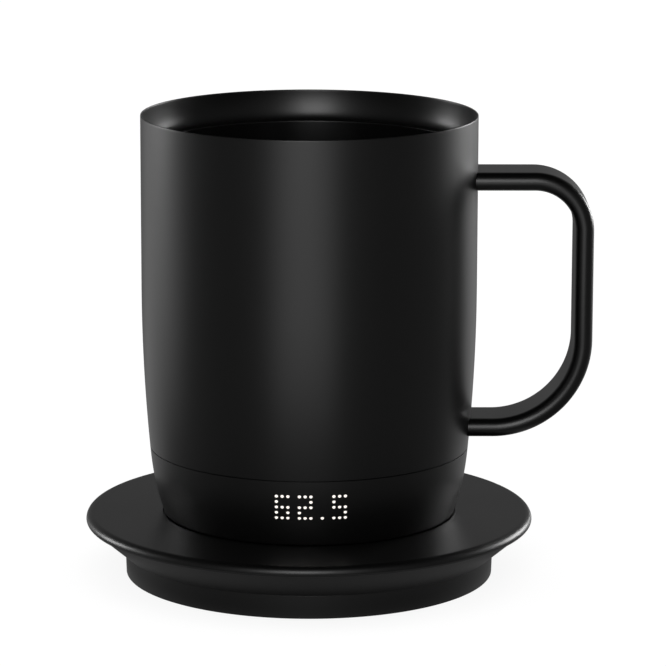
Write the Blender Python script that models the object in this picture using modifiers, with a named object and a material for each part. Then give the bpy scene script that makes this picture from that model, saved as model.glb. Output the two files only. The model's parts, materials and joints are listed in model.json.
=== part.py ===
"""Self heating mug standing on its charging coaster, as separate solid pieces.

Metres, +Z up. The origin is the middle of the coaster's foot pad, on the surface
that the coaster stands on. The handle points to +X and the display faces -Y.
"""
import math
from collections import namedtuple

import bmesh
import bpy
from mathutils import Matrix, Vector

MM = 0.001

# Fits and cuts shared by all pieces
CLEARANCE = 0.3 * MM
OVERRUN = 2.0 * MM
MERGE = 0.01 * MM
ROUND_STEPS = 40
RING_STEPS = 36
SMALL_STEPS = 12
SOCKET_SIDES = 6
SEAL_SIDES = 6
CELL_STEPS = 20
CORNER_STEPS = 4
LIP_ROWS = 6
RIM_ROWS = 3
CURVE_ROWS = 5
CORNER_ROWS = 6
EDGE_ROWS = 3
COVE_ROWS = 5
BAND_ROWS = 6
BAND_INNER_ROWS = 4
PLUG_ROWS = 5
POINTS_PER_TURN = 8
LEAD_POINTS = 7
RIGHT_ANGLE = 90.0
RIGHT_TURN = math.pi / 2

# Coaster foot pad
PAD_MARGIN = 2.9 * MM
PAD_THICKNESS = 1.0 * MM
PAD_PROUD = 0.3 * MM

# Coaster base, the drum under the saucer
DRUM_RADIUS = 48.15 * MM
DRUM_DRAFT = 1.25 * MM
DRUM_HEIGHT = 5.8 * MM
DRUM_WALL = 2.0 * MM
DRUM_FLOOR = 1.2 * MM
DRUM_EDGE = 0.3 * MM
BASE_BOSS_RADIUS = 3.9 * MM
BASE_BOSS_HEIGHT = 2.5 * MM
STANDOFF_RADIUS = 2.2 * MM

# Coaster top, the saucer with its sloping underside
SAUCER_RADIUS = 57.75 * MM
LIP_RADIUS = 1.3 * MM
CONE_HEIGHT = 7.1 * MM
CONE_WALL = 2.0 * MM
SAUCER_PLATE = 2.0 * MM
SEAT_DEPTH = 0.6 * MM
SEAT_MARGIN = 0.8 * MM
TOP_BOSS_RADIUS = 3.2 * MM

# Coaster screws, from under the pad into the saucer's bosses
COASTER_SCREW_MARGIN = 4.2 * MM
COASTER_SCREW_ANGLES = (30.0, 150.0, 270.0)
COASTER_HEAD_RADIUS = 2.3 * MM
COASTER_HEAD_HEIGHT = 1.3 * MM
COASTER_HEAD_DEPTH = 0.4 * MM
COASTER_SHANK_RADIUS = 1.2 * MM
COASTER_SHANK_LENGTH = 8.0 * MM

# Charging board and its inlet
INLET_WIDTH = 8.9 * MM
INLET_HEIGHT = 3.1 * MM
INLET_LENGTH = 7.3 * MM
INLET_WALL = 0.35 * MM
INLET_CORNER = 1.3 * MM
INLET_INSET = 0.5 * MM
TONGUE_WIDTH = 6.6 * MM
TONGUE_THICKNESS = 0.8 * MM
TONGUE_LENGTH = 5.2 * MM
CHARGE_BOARD_HALF_WIDTH = 11.0 * MM
CHARGE_BOARD_FRONT = 12.0 * MM
CHARGE_BOARD_THICKNESS = 1.2 * MM
CHARGE_BOARD_SETBACK = 4.4 * MM
CHARGE_SCREW_SPREAD = 7.5 * MM
CHARGE_SCREW_PLACE = 20.0 * MM
CHARGE_HEAD_RADIUS = 1.7 * MM
CHARGE_HEAD_HEIGHT = 0.9 * MM
CHARGE_SHANK_RADIUS = 0.8 * MM
CHARGE_SHANK_LENGTH = 3.6 * MM
CHARGE_CHIP_SIDE = 6.0 * MM
CHARGE_CHIP_HEIGHT = 1.0 * MM
CHARGE_CHIP_PLACE = 30.0 * MM

# Spring contact pins that feed the mug
CONTACT_RING_RADIUS = 6.5 * MM
PIN_RADIUS = 0.8 * MM
PIN_TIP_ROUND = 0.5 * MM
PIN_COLLAR_RADIUS = 1.25 * MM
PIN_COLLAR_HEIGHT = 0.6 * MM
BARREL_WALL = 0.45 * MM
BARREL_LIP = 0.5 * MM
BARREL_FLOOR = 0.6 * MM
BARREL_FLANGE_RADIUS = 2.6 * MM
BARREL_FLANGE_HEIGHT = 0.7 * MM
SPRING_WIRE_RADIUS = 0.13 * MM
SPRING_COIL_RADIUS = 0.75 * MM
SPRING_TURNS = 5

# Mug body: straight above, drawn in below along one long arc
BODY_RADIUS = 43.0 * MM
SHELL_HEIGHT = 85.8 * MM
SHELL_WALL = 0.8 * MM
SHELL_STRAIGHT = 44.5 * MM
BODY_CURVE_RADIUS = 450.0 * MM
BAND_HEIGHT = 17.35 * MM
BAND_TUCK = 1.7 * MM
BAND_TUCK_POWER = 2.5
BAND_EDGE = 0.6 * MM

# Base housing, the band under the seam
HOUSING_WALL = 2.0 * MM
NECK_HEIGHT = 2.6 * MM
NECK_WALL = 2.2 * MM
SEAL_WIRE_RADIUS = 0.4 * MM
BOSS_RADIUS = 2.8 * MM
BOSS_HEIGHT = 2.5 * MM
BOSS_RIB_WIDTH = 3.0 * MM

# Inner cup
DOUBLE_WALL_SPACE = 2.9 * MM
LINER_WALL = 0.8 * MM
LINER_CORNER = 14.0 * MM
MOUTH_STRAIGHT = 3.0 * MM
MOUTH_COVE_HEIGHT = 4.6 * MM
MOUTH_DROP = 0.25 * MM
SHOULDER_ROUND = 0.6 * MM

# Handle, a flat strap with round edges bent to a D
HANDLE_REACH = 27.13 * MM
HANDLE_BELOW_RIM = 16.25 * MM
HANDLE_ABOVE_SEAM = 5.75 * MM
HANDLE_UPPER_BEND = 12.75 * MM
HANDLE_LOWER_BEND = 23.0 * MM
STRAP_WIDTH = 17.2 * MM
STRAP_THICKNESS = 4.6 * MM
STRAP_ROOT = 6.0 * MM
UPPER_BEND_STEPS = 8
LOWER_BEND_STEPS = 10
STRAP_EDGE_STEPS = 6

# Handle screws and the saddles that spread their pull inside the shell
HANDLE_SCREW_SPREAD = 4.5 * MM
HANDLE_HEAD_RADIUS = 2.2 * MM
HANDLE_HEAD_HEIGHT = 0.8 * MM
HANDLE_SHANK_RADIUS = 1.25 * MM
HANDLE_SHANK_LENGTH = 9.0 * MM
SADDLE_THICKNESS = 0.6 * MM
SADDLE_HALF_HEIGHT = 2.6 * MM
SADDLE_HALF_WIDTH = 8.0 * MM

# Bottom cover, its contacts, foot ring and screws
COVER_THICKNESS = 2.1 * MM
FOOT_PROUD = 0.3 * MM
FOOT_RING_MARGIN = 0.85 * MM
FOOT_RING_WIDTH = 1.9 * MM
FOOT_RING_SUNK = 0.6 * MM
CONTACT_THICKNESS = 0.8 * MM
CONTACT_CENTRE_RADIUS = 2.6 * MM
CONTACT_RING_WIDTH = 2.2 * MM
CONTACT_STEM_RADIUS = 0.9 * MM
COVER_SCREW_MARGIN = 1.2 * MM
COVER_SCREW_ANGLES = (45.0, 135.0, 225.0, 315.0)
COVER_HEAD_RADIUS = 2.1 * MM
COVER_HEAD_HEIGHT = 0.9 * MM
COVER_HEAD_DEPTH = 0.2 * MM
COVER_SHANK_RADIUS = 1.0 * MM
COVER_SHANK_LENGTH = 9.6 * MM

# Power button under the mug and the switch that it presses
BUTTON_PLACE = 20.0 * MM
BUTTON_RADIUS = 3.2 * MM
BUTTON_SUNK = 0.3 * MM
BUTTON_FLANGE = 0.9 * MM
BUTTON_FLANGE_HEIGHT = 0.6 * MM
BUTTON_NUB_RADIUS = 0.9 * MM
SWITCH_SIDE = 5.0 * MM
SWITCH_HEIGHT = 0.9 * MM
PLUNGER_RADIUS = 1.0 * MM
PLUNGER_HEIGHT = 0.3 * MM

# Control board and its chips
CONTROL_BOARD_MARGIN = 0.7 * MM
CONTROL_BOARD_THICKNESS = 1.2 * MM
MAIN_CHIP_SIDE = 7.0 * MM
POWER_CHIP_SIDE = 5.0 * MM
CHIP_HEIGHT = 0.9 * MM
CHIP_MARGIN = 4.35 * MM
CHIP_SPREAD = 8.5 * MM

# Cells, as large as the space between the tray's ears allows, their tray, links and strap
TRAY_EAR_GAP = 0.72 * MM
TRAY_BOARD_MARGIN = 1.55 * MM
CELL_EDGE = 0.5 * MM
CELL_GAP = 0.7 * MM
LINK_THICKNESS = 0.4 * MM
LINK_OVERLAP = 3.9 * MM
LINK_HALF_HEIGHT = 3.0 * MM
TRAY_FLOOR = 1.4 * MM
TRAY_WALL = 1.2 * MM
TRAY_WALL_HEIGHT = 5.0 * MM
TRAY_EAR_HEIGHT = 4.0 * MM
POST_RADIUS = 1.5 * MM
POST_PLACE = 12.0 * MM
BAND_STRAP_THICKNESS = 0.4 * MM
BAND_STRAP_HALF_WIDTH = 4.0 * MM
BAND_STRAP_BELOW = 4.05 * MM

# Heating stack under the inner cup
PAD_INSULATION = 1.6 * MM
PAD_INSULATION_MARGIN = 1.0 * MM
CLAMP_THICKNESS = 1.2 * MM
CLAMP_BORDER = 1.0 * MM
HEATER_THICKNESS = 0.5 * MM
HEATER_MARGIN = 0.5 * MM
HEATER_TAB_HALF_WIDTH = 5.0 * MM
HEATER_TAB_REACH = 4.0 * MM
SENSOR_RADIUS = 1.2 * MM
LEAD_RADIUS = 0.5 * MM
LEAD_SPREAD = 3.0 * MM
LEAD_BOW = 2.0 * MM

# Display behind the thin skin of the base housing
DISPLAY_HALF_WIDTH = 10.3 * MM
DISPLAY_HALF_HEIGHT = 4.2 * MM
DISPLAY_HEIGHT_ABOVE_EDGE = 10.65 * MM
DISPLAY_SKIN = 0.9 * MM
GUIDE_DEPTH = 2.6 * MM
LED_ARRAY_THICKNESS = 0.5 * MM
LED_ARRAY_MARGIN = 0.7 * MM
LED_BOARD_THICKNESS = 1.0 * MM
LED_BOARD_MARGIN = 0.9 * MM
RAIL_WIDTH = 2.4 * MM
RAIL_DEPTH = 1.0 * MM
RAIL_LIP = 1.0 * MM
FLEX_THICKNESS = 0.3 * MM
FLEX_HALF_WIDTH = 3.0 * MM
FLEX_RUN = 5.0 * MM

ScrewSize = namedtuple("ScrewSize", "head_radius head_height shank_radius shank_length")
COASTER_SCREW = ScrewSize(COASTER_HEAD_RADIUS, COASTER_HEAD_HEIGHT, COASTER_SHANK_RADIUS,
                          COASTER_SHANK_LENGTH)
CHARGE_SCREW = ScrewSize(CHARGE_HEAD_RADIUS, CHARGE_HEAD_HEIGHT, CHARGE_SHANK_RADIUS,
                         CHARGE_SHANK_LENGTH)
COVER_SCREW = ScrewSize(COVER_HEAD_RADIUS, COVER_HEAD_HEIGHT, COVER_SHANK_RADIUS,
                        COVER_SHANK_LENGTH)
HANDLE_SCREW = ScrewSize(HANDLE_HEAD_RADIUS, HANDLE_HEAD_HEIGHT, HANDLE_SHANK_RADIUS,
                         HANDLE_SHANK_LENGTH)

# Shares of the size that each one follows
SCREW_TIP_SHARE = 0.6
SOCKET_WIDTH_SHARE = 0.5
SOCKET_DEPTH_SHARE = 0.6
RIM_TAPER_SHARE = 0.35

# Heights of the coaster, from the table up
drum_bottom = PAD_PROUD
drum_top = drum_bottom + DRUM_HEIGHT
floor_bottom = PAD_THICKNESS + CLEARANCE
floor_top = floor_bottom + DRUM_FLOOR
inlet_bottom = floor_top + CLEARANCE
inlet_top = inlet_bottom + INLET_HEIGHT
charge_board_bottom = inlet_top + CLEARANCE
charge_board_top = charge_board_bottom + CHARGE_BOARD_THICKNESS
cone_bottom = drum_top + CLEARANCE
lip_height = cone_bottom + CONE_HEIGHT + LIP_RADIUS
saucer_top = lip_height + LIP_RADIUS
plate_bottom = saucer_top - SAUCER_PLATE
seat_floor = saucer_top - SEAT_DEPTH

# Heights of the mug, standing in the coaster's seat
foot_bottom = seat_floor + CLEARANCE
band_bottom = foot_bottom + FOOT_PROUD
seam_height = band_bottom + BAND_HEIGHT
shell_bottom = seam_height + CLEARANCE
rim_height = shell_bottom + SHELL_HEIGHT
straight_height = rim_height - SHELL_STRAIGHT
neck_top = seam_height + NECK_HEIGHT
cover_top = band_bottom + COVER_THICKNESS
boss_bottom = cover_top + CLEARANCE
boss_top = boss_bottom + BOSS_HEIGHT
control_board_bottom = boss_top + CLEARANCE
control_board_top = control_board_bottom + CONTROL_BOARD_THICKNESS
on_control_board = control_board_top + CLEARANCE
tray_floor_top = on_control_board + TRAY_FLOOR
upper_bar_height = rim_height - HANDLE_BELOW_RIM
lower_bar_height = seam_height + HANDLE_ABOVE_SEAM
display_height = band_bottom + DISPLAY_HEIGHT_ABOVE_EDGE

# Radii and places that several pieces follow
drum_bottom_radius = DRUM_RADIUS - DRUM_DRAFT
pad_radius = drum_bottom_radius - PAD_MARGIN
coaster_screw_circle = DRUM_RADIUS - DRUM_WALL - BASE_BOSS_RADIUS - COASTER_SCREW_MARGIN
base_boss_top = floor_top + BASE_BOSS_HEIGHT
liner_radius = BODY_RADIUS - SHELL_WALL - DOUBLE_WALL_SPACE - LINER_WALL
mouth_radius = BODY_RADIUS - SHELL_WALL - CLEARANCE - LINER_WALL
heater_radius = liner_radius - LINER_CORNER - HEATER_MARGIN
clamp_radius = heater_radius + CLAMP_BORDER
strap_centre = BODY_RADIUS + HANDLE_REACH
barrel_radius = PIN_COLLAR_RADIUS + CLEARANCE + BARREL_WALL
contact_ring_outer = CONTACT_RING_RADIUS + CONTACT_RING_WIDTH / 2
contact_ring_inner = CONTACT_RING_RADIUS - CONTACT_RING_WIDTH / 2
inlet_mouth = DRUM_RADIUS - DRUM_DRAFT / 2 - INLET_INSET
inlet_back = inlet_mouth - INLET_LENGTH


def body_radius(height):
    """Outer radius of the mug's body at a height, straight above and curved below."""
    drop = max(0.0, straight_height - height)
    radius = BODY_RADIUS - drop * drop / (2 * BODY_CURVE_RADIUS)
    below_seam = max(0.0, seam_height - height) / BAND_HEIGHT
    return radius - BAND_TUCK * min(1.0, below_seam) ** BAND_TUCK_POWER


neck_radius = body_radius(shell_bottom) - SHELL_WALL - CLEARANCE
seal_groove_radius = neck_radius - 2 * SEAL_WIRE_RADIUS - CLEARANCE
foot_radius = body_radius(band_bottom)
housing_mouth = foot_radius - HOUSING_WALL
cover_radius = housing_mouth - CLEARANCE
seat_radius = foot_radius + SEAT_MARGIN
foot_ring_outer = cover_radius - FOOT_RING_MARGIN
foot_ring_inner = foot_ring_outer - FOOT_RING_WIDTH
cover_screw_circle = foot_ring_inner - COVER_SCREW_MARGIN - COVER_HEAD_RADIUS
guide_front = body_radius(display_height) - DISPLAY_SKIN - CLEARANCE
guide_back = guide_front - GUIDE_DEPTH
led_array_back = guide_back - CLEARANCE - LED_ARRAY_THICKNESS
led_board_front = led_array_back - CLEARANCE
led_board_back = led_board_front - LED_BOARD_THICKNESS
control_board_radius = led_board_back - CONTROL_BOARD_MARGIN
chip_place = led_board_back - CHIP_MARGIN - MAIN_CHIP_SIDE / 2
ear_place = cover_screw_circle * math.sin(math.radians(COVER_SCREW_ANGLES[0]))
tray_outer_y = ear_place - BOSS_RADIUS - TRAY_EAR_GAP
tray_outer_x = math.sqrt((control_board_radius - TRAY_BOARD_MARGIN) ** 2 - tray_outer_y ** 2)
tray_inner_x = tray_outer_x - TRAY_WALL
tray_inner_y = tray_outer_y - TRAY_WALL
strap_side = tray_inner_y - CLEARANCE
link_outer = tray_inner_x - CLEARANCE
link_inner = link_outer - LINK_THICKNESS
cell_end = link_inner - CLEARANCE
cell_side = strap_side - BAND_STRAP_THICKNESS - CLEARANCE
cell_radius = (cell_side - CELL_GAP / 2) / 2
cell_place = cell_radius + CELL_GAP / 2
post_y = tray_outer_y + POST_RADIUS

# Heights above the tray, which the cells' size decides
cell_height = tray_floor_top + CLEARANCE + cell_radius
band_strap_bottom = cell_height + cell_radius + CLEARANCE
band_strap_top = band_strap_bottom + BAND_STRAP_THICKNESS
insulation_bottom = band_strap_top + CLEARANCE
insulation_top = insulation_bottom + PAD_INSULATION
clamp_bottom = insulation_top + CLEARANCE
clamp_top = clamp_bottom + CLAMP_THICKNESS
heater_bottom = clamp_top + CLEARANCE
heater_top = heater_bottom + HEATER_THICKNESS
liner_bottom = heater_top + CLEARANCE
liner_floor = liner_bottom + LINER_WALL


def spread(low, high, count):
    """Evenly spaced values from low to high, both included."""
    return [low + (high - low) * step / (count - 1) for step in range(count)]


def arc(centre, radius, start, end, count):
    """Points of an arc in the profile plane, its angles in degrees."""
    return [(centre[0] + radius * math.cos(math.radians(angle)),
             centre[1] + radius * math.sin(math.radians(angle)))
            for angle in spread(start, end, count)]


def around(radius, angle):
    """A place in the XY plane at a radius and an angle in degrees."""
    return (radius * math.cos(math.radians(angle)), radius * math.sin(math.radians(angle)))


def clear_scene():
    """Remove the objects of the scene and the collections made before."""
    for old in list(bpy.data.objects):
        bpy.data.objects.remove(old, do_unlink=True)
    for old in list(bpy.data.collections):
        bpy.data.collections.remove(old)


def make_collection(name):
    """A new collection in the scene."""
    collection = bpy.data.collections.new(name)
    bpy.context.scene.collection.children.link(collection)
    return collection


def make_material(name, colour, roughness, metallic=0.0):
    """A Principled material with one colour."""
    material = bpy.data.materials.new(name)
    material.use_nodes = True
    shader = material.node_tree.nodes["Principled BSDF"]
    shader.inputs["Base Color"].default_value = (*colour, 1.0)
    shader.inputs["Roughness"].default_value = roughness
    shader.inputs["Metallic"].default_value = metallic
    return material


clear_scene()
PIECES = make_collection("self_heating_mug")
CUTTERS = make_collection("cutters")
BLACK_COAT = make_material("black_coat", (0.010, 0.010, 0.011), 0.38)
BLACK_PLASTIC = make_material("black_plastic", (0.011, 0.011, 0.012), 0.42)
INNER_COAT = make_material("inner_coat", (0.012, 0.012, 0.012), 0.32)
RUBBER = make_material("rubber", (0.014, 0.014, 0.015), 0.75)
WHITE_FOAM = make_material("white_foam", (0.70, 0.68, 0.62), 0.9)
FRAME_PLASTIC = make_material("frame_plastic", (0.09, 0.09, 0.10), 0.55)
STEEL = make_material("steel", (0.55, 0.55, 0.56), 0.3, 1.0)
NICKEL = make_material("nickel", (0.62, 0.60, 0.55), 0.28, 1.0)
GOLD = make_material("gold", (0.83, 0.61, 0.26), 0.25, 1.0)
ALUMINIUM = make_material("aluminium", (0.72, 0.73, 0.74), 0.35, 1.0)
FILM = make_material("heater_film", (0.45, 0.18, 0.03), 0.4)
SLEEVE = make_material("cell_sleeve", (0.02, 0.12, 0.30), 0.35)
BOARD = make_material("board_green", (0.01, 0.09, 0.04), 0.4)
CHIP = make_material("chip_black", (0.02, 0.02, 0.022), 0.5)
LENS = make_material("lens_smoke", (0.35, 0.34, 0.32), 0.25)
WIRE_RED = make_material("lead_red", (0.45, 0.02, 0.02), 0.45)


def place(mesh, name, material):
    """Put a mesh in the scene as a piece."""
    piece = bpy.data.objects.new(name, mesh)
    PIECES.objects.link(piece)
    piece.data.materials.append(material)
    return piece


def as_cutter(piece):
    """Move a shape to the cutters, where it only serves another piece."""
    PIECES.objects.unlink(piece)
    CUTTERS.objects.link(piece)
    piece.hide_render = True
    piece.display_type = "WIRE"
    return piece


def combine(piece, other, operation):
    """Boolean of a piece with a shape that then becomes a cutter."""
    if other.name not in CUTTERS.objects:
        as_cutter(other)
    modifier = piece.modifiers.new(operation.title() + " " + other.name, "BOOLEAN")
    modifier.operation = operation
    modifier.solver = "EXACT"
    modifier.object = other
    return piece


def cut(piece, other):
    """Take a shape out of a piece."""
    return combine(piece, other, "DIFFERENCE")


def join(piece, other):
    """Add a shape to a piece."""
    return combine(piece, other, "UNION")


def keep(piece, other):
    """Keep only what a piece shares with a shape."""
    return combine(piece, other, "INTERSECT")


def turned(name, profile, material, steps=ROUND_STEPS, closed=False):
    """A turned shape: the profile runs from the axis out, down its outer side and back."""
    mesh = bpy.data.meshes.new(name)
    points = [(radius, 0.0, height) for radius, height in profile]
    edges = [(index, index + 1) for index in range(len(points) - 1)]
    if closed:
        edges.append((len(points) - 1, 0))
    mesh.from_pydata(points, edges, [])
    piece = place(mesh, name, material)
    screw = piece.modifiers.new("Turn", "SCREW")
    screw.axis = "Z"
    screw.steps = steps
    screw.render_steps = steps
    screw.use_merge_vertices = True
    screw.merge_threshold = MERGE
    screw.use_smooth_shade = True
    return piece


def ring(name, inner, outer, bottom, top, material, steps=RING_STEPS):
    """A plain turned ring."""
    profile = [(inner, top), (outer, top), (outer, bottom), (inner, bottom)]
    return turned(name, profile, material, steps, closed=True)


def disc(name, radius, bottom, top, material, steps=RING_STEPS):
    """A plain turned disc on the axis."""
    profile = [(0.0, top), (radius, top), (radius, bottom), (0.0, bottom)]
    return turned(name, profile, material, steps)


def block(name, low, high, material, bevel=0.0):
    """A box between two corners, its edges bevelled if asked."""
    mesh = bpy.data.meshes.new(name)
    shape = bmesh.new()
    bmesh.ops.create_cube(shape, size=1.0)
    size = Vector(high) - Vector(low)
    bmesh.ops.scale(shape, vec=size, verts=shape.verts)
    bmesh.ops.translate(shape, vec=(Vector(low) + Vector(high)) / 2, verts=shape.verts)
    shape.to_mesh(mesh)
    shape.free()
    piece = place(mesh, name, material)
    if bevel:
        modifier = piece.modifiers.new("Bevel", "BEVEL")
        modifier.width = bevel
        modifier.segments = 2
    return piece


def slab(name, outline, half_width, material):
    """A flat-sided piece: an outline of Y and Z, drawn out both ways along X."""
    count = len(outline)
    points = [(side * half_width, *spot) for side in (-1, 1) for spot in outline]
    faces = [tuple(reversed(range(count))), tuple(range(count, 2 * count))]
    for index in range(count):
        after = (index + 1) % count
        faces.append((index, after, count + after, count + index))
    mesh = bpy.data.meshes.new(name)
    mesh.from_pydata(points, [], faces)
    shape = bmesh.new()
    shape.from_mesh(mesh)
    bmesh.ops.recalc_face_normals(shape, faces=shape.faces)
    shape.to_mesh(mesh)
    shape.free()
    return place(mesh, name, material)


def rod(name, middle, bottom, top, radius, material, steps=SMALL_STEPS):
    """An upright cylinder at a place in the XY plane."""
    mesh = bpy.data.meshes.new(name)
    shape = bmesh.new()
    bmesh.ops.create_cone(shape, cap_ends=True, segments=steps, radius1=radius,
                          radius2=radius, depth=top - bottom)
    bmesh.ops.translate(shape, vec=(middle[0], middle[1], (top + bottom) / 2), verts=shape.verts)
    shape.to_mesh(mesh)
    shape.free()
    return place(mesh, name, material)


def screw_piece(name, size, location, turn=(0.0, 0.0, 0.0)):
    """A screw with a hexagon socket, its head's outer face at the location."""
    tip = size.head_height + size.shank_length
    taper = size.shank_radius * SCREW_TIP_SHARE
    profile = [(0.0, tip), (taper, tip), (size.shank_radius, tip - taper),
               (size.shank_radius, size.head_height), (size.head_radius, size.head_height),
               (size.head_radius, 0.0), (0.0, 0.0)]
    piece = turned(name, profile, STEEL, SMALL_STEPS)
    socket_radius = size.head_radius * SOCKET_WIDTH_SHARE
    socket_depth = size.head_height * SOCKET_DEPTH_SHARE
    profile = [(0.0, socket_depth), (socket_radius, socket_depth), (socket_radius, -OVERRUN),
               (0.0, -OVERRUN)]
    socket = turned(name + "_socket", profile, STEEL, SOCKET_SIDES)
    for shape in (piece, socket):
        shape.location = location
        shape.rotation_euler = turn
    return cut(piece, socket)


def screw_hole(name, size, location, turn=(0.0, 0.0, 0.0)):
    """The room that a screw needs, open on its head's side."""
    tip = size.head_height + size.shank_length + CLEARANCE
    shank = size.shank_radius + CLEARANCE
    head = size.head_radius + CLEARANCE
    under_head = size.head_height + CLEARANCE
    profile = [(0.0, tip), (shank, tip), (shank, under_head), (head, under_head),
               (head, -OVERRUN), (0.0, -OVERRUN)]
    hole = turned(name, profile, STEEL, SMALL_STEPS)
    hole.location = location
    hole.rotation_euler = turn
    return as_cutter(hole)


def body_plug(name, inset, bottom, top):
    """A solid of the mug's body, smaller by an inset, between two heights."""
    curved = spread(min(top, straight_height), bottom, PLUG_ROWS)
    heights = [top] + curved if top > straight_height else curved
    outer = [(body_radius(height) - inset, height) for height in heights]
    return turned(name, [(0.0, top)] + outer + [(0.0, bottom)], BLACK_COAT)


def drum_radius_at(height):
    """Outer radius of the drum, which narrows towards its bottom edge."""
    return DRUM_RADIUS - DRUM_DRAFT * (drum_top - height) / DRUM_HEIGHT


def tangent_point(centre, radius, point):
    """Where a line from a point below touches the underside of a circle."""
    gap_x, gap_y = point[0] - centre[0], point[1] - centre[1]
    angle = math.atan2(gap_y, gap_x) + math.acos(radius / math.hypot(gap_x, gap_y))
    return math.degrees(angle)


def coaster_foot_pad():
    """The soft disc under the coaster, let into the drum's underside."""
    disc("coaster_foot_pad", pad_radius, 0.0, PAD_THICKNESS, RUBBER)


def coaster_base():
    """The drum: floor, wall, screw bosses, board supports and the inlet's notch."""
    recess = pad_radius + CLEARANCE
    profile = [(0.0, floor_top), (drum_radius_at(floor_top) - DRUM_WALL, floor_top),
               (DRUM_RADIUS - DRUM_WALL, drum_top), (DRUM_RADIUS, drum_top),
               (drum_bottom_radius, drum_bottom + DRUM_EDGE),
               (drum_bottom_radius - DRUM_EDGE, drum_bottom), (recess, drum_bottom),
               (recess, floor_bottom), (0.0, floor_bottom)]
    base = turned("coaster_base", profile, BLACK_PLASTIC)
    inside_floor = floor_top - DRUM_FLOOR / 2
    for index, angle in enumerate(COASTER_SCREW_ANGLES):
        middle = around(coaster_screw_circle, angle)
        join(base, rod(f"base_boss_{index}", middle, inside_floor, base_boss_top,
                       BASE_BOSS_RADIUS, BLACK_PLASTIC))
    supports = [(0.0, 0.0)] + [(side * CHARGE_SCREW_SPREAD, CHARGE_SCREW_PLACE)
                               for side in (-1, 1)]
    for index, middle in enumerate(supports):
        join(base, rod(f"board_support_{index}", middle, inside_floor,
                       charge_board_bottom - CLEARANCE, STANDOFF_RADIUS, BLACK_PLASTIC))
    half = INLET_WIDTH / 2 + CLEARANCE
    cut(base, block("inlet_notch", (-half, inlet_back, floor_top),
                    (half, DRUM_RADIUS + OVERRUN, drum_top + OVERRUN), BLACK_PLASTIC))
    return base


def coaster_top():
    """The saucer: seat for the mug, rounded lip, sloping underside and bosses."""
    lip_middle = (SAUCER_RADIUS - LIP_RADIUS, lip_height)
    cone_foot = (DRUM_RADIUS, cone_bottom)
    touch = tangent_point(lip_middle, LIP_RADIUS, cone_foot)
    lip = arc(lip_middle, LIP_RADIUS, RIGHT_ANGLE, touch, LIP_ROWS)
    slope_run = (lip[-1][0] - cone_foot[0]) / (lip[-1][1] - cone_foot[1])
    wall_run = CONE_WALL * math.hypot(1, slope_run)
    inner_foot = DRUM_RADIUS - wall_run
    inner_top = inner_foot + slope_run * (plate_bottom - cone_bottom)
    profile = [(0.0, seat_floor), (seat_radius, seat_floor), (seat_radius, saucer_top)] + lip
    profile += [cone_foot, (inner_foot, cone_bottom), (inner_top, plate_bottom),
                (0.0, plate_bottom)]
    top = turned("coaster_top", profile, BLACK_PLASTIC)
    inside_plate = plate_bottom + (seat_floor - plate_bottom) / 2
    for index, angle in enumerate(COASTER_SCREW_ANGLES):
        join(top, rod(f"top_boss_{index}", around(coaster_screw_circle, angle),
                      base_boss_top + CLEARANCE, inside_plate, TOP_BOSS_RADIUS, BLACK_PLASTIC))
    for name, place_y in (("centre", 0.0), ("ring", CONTACT_RING_RADIUS)):
        cut(top, rod(f"{name}_barrel_hole", (0.0, place_y), plate_bottom - OVERRUN,
                     saucer_top + OVERRUN, barrel_radius + CLEARANCE, BLACK_PLASTIC))
    return top


def coaster_screws(base, top):
    """Screws from under the foot pad, through the drum into the saucer."""
    for index, angle in enumerate(COASTER_SCREW_ANGLES):
        start = (*around(coaster_screw_circle, angle), floor_bottom + COASTER_HEAD_DEPTH)
        screw_piece(f"coaster_screw_{index + 1}", COASTER_SCREW, start)
        hole = screw_hole(f"coaster_screw_hole_{index}", COASTER_SCREW, start)
        cut(base, hole)
        cut(top, hole)


def flat_bar(name, half_width, bottom, top, corner, start, end, material):
    """A bar along Y whose four long edges are rounded."""
    mesh = bpy.data.meshes.new(name)
    shape = bmesh.new()
    bmesh.ops.create_cube(shape, size=1.0)
    size = (2 * half_width, end - start, top - bottom)
    bmesh.ops.scale(shape, vec=size, verts=shape.verts)
    bmesh.ops.translate(shape, vec=(0.0, (start + end) / 2, (bottom + top) / 2),
                        verts=shape.verts)
    long_edges = [edge for edge in shape.edges
                  if abs(edge.verts[0].co.y - edge.verts[1].co.y) > MERGE]
    bmesh.ops.bevel(shape, geom=long_edges, offset=corner, segments=CORNER_STEPS, profile=0.5,
                    affect="EDGES")
    shape.to_mesh(mesh)
    shape.free()
    return place(mesh, name, material)


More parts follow.
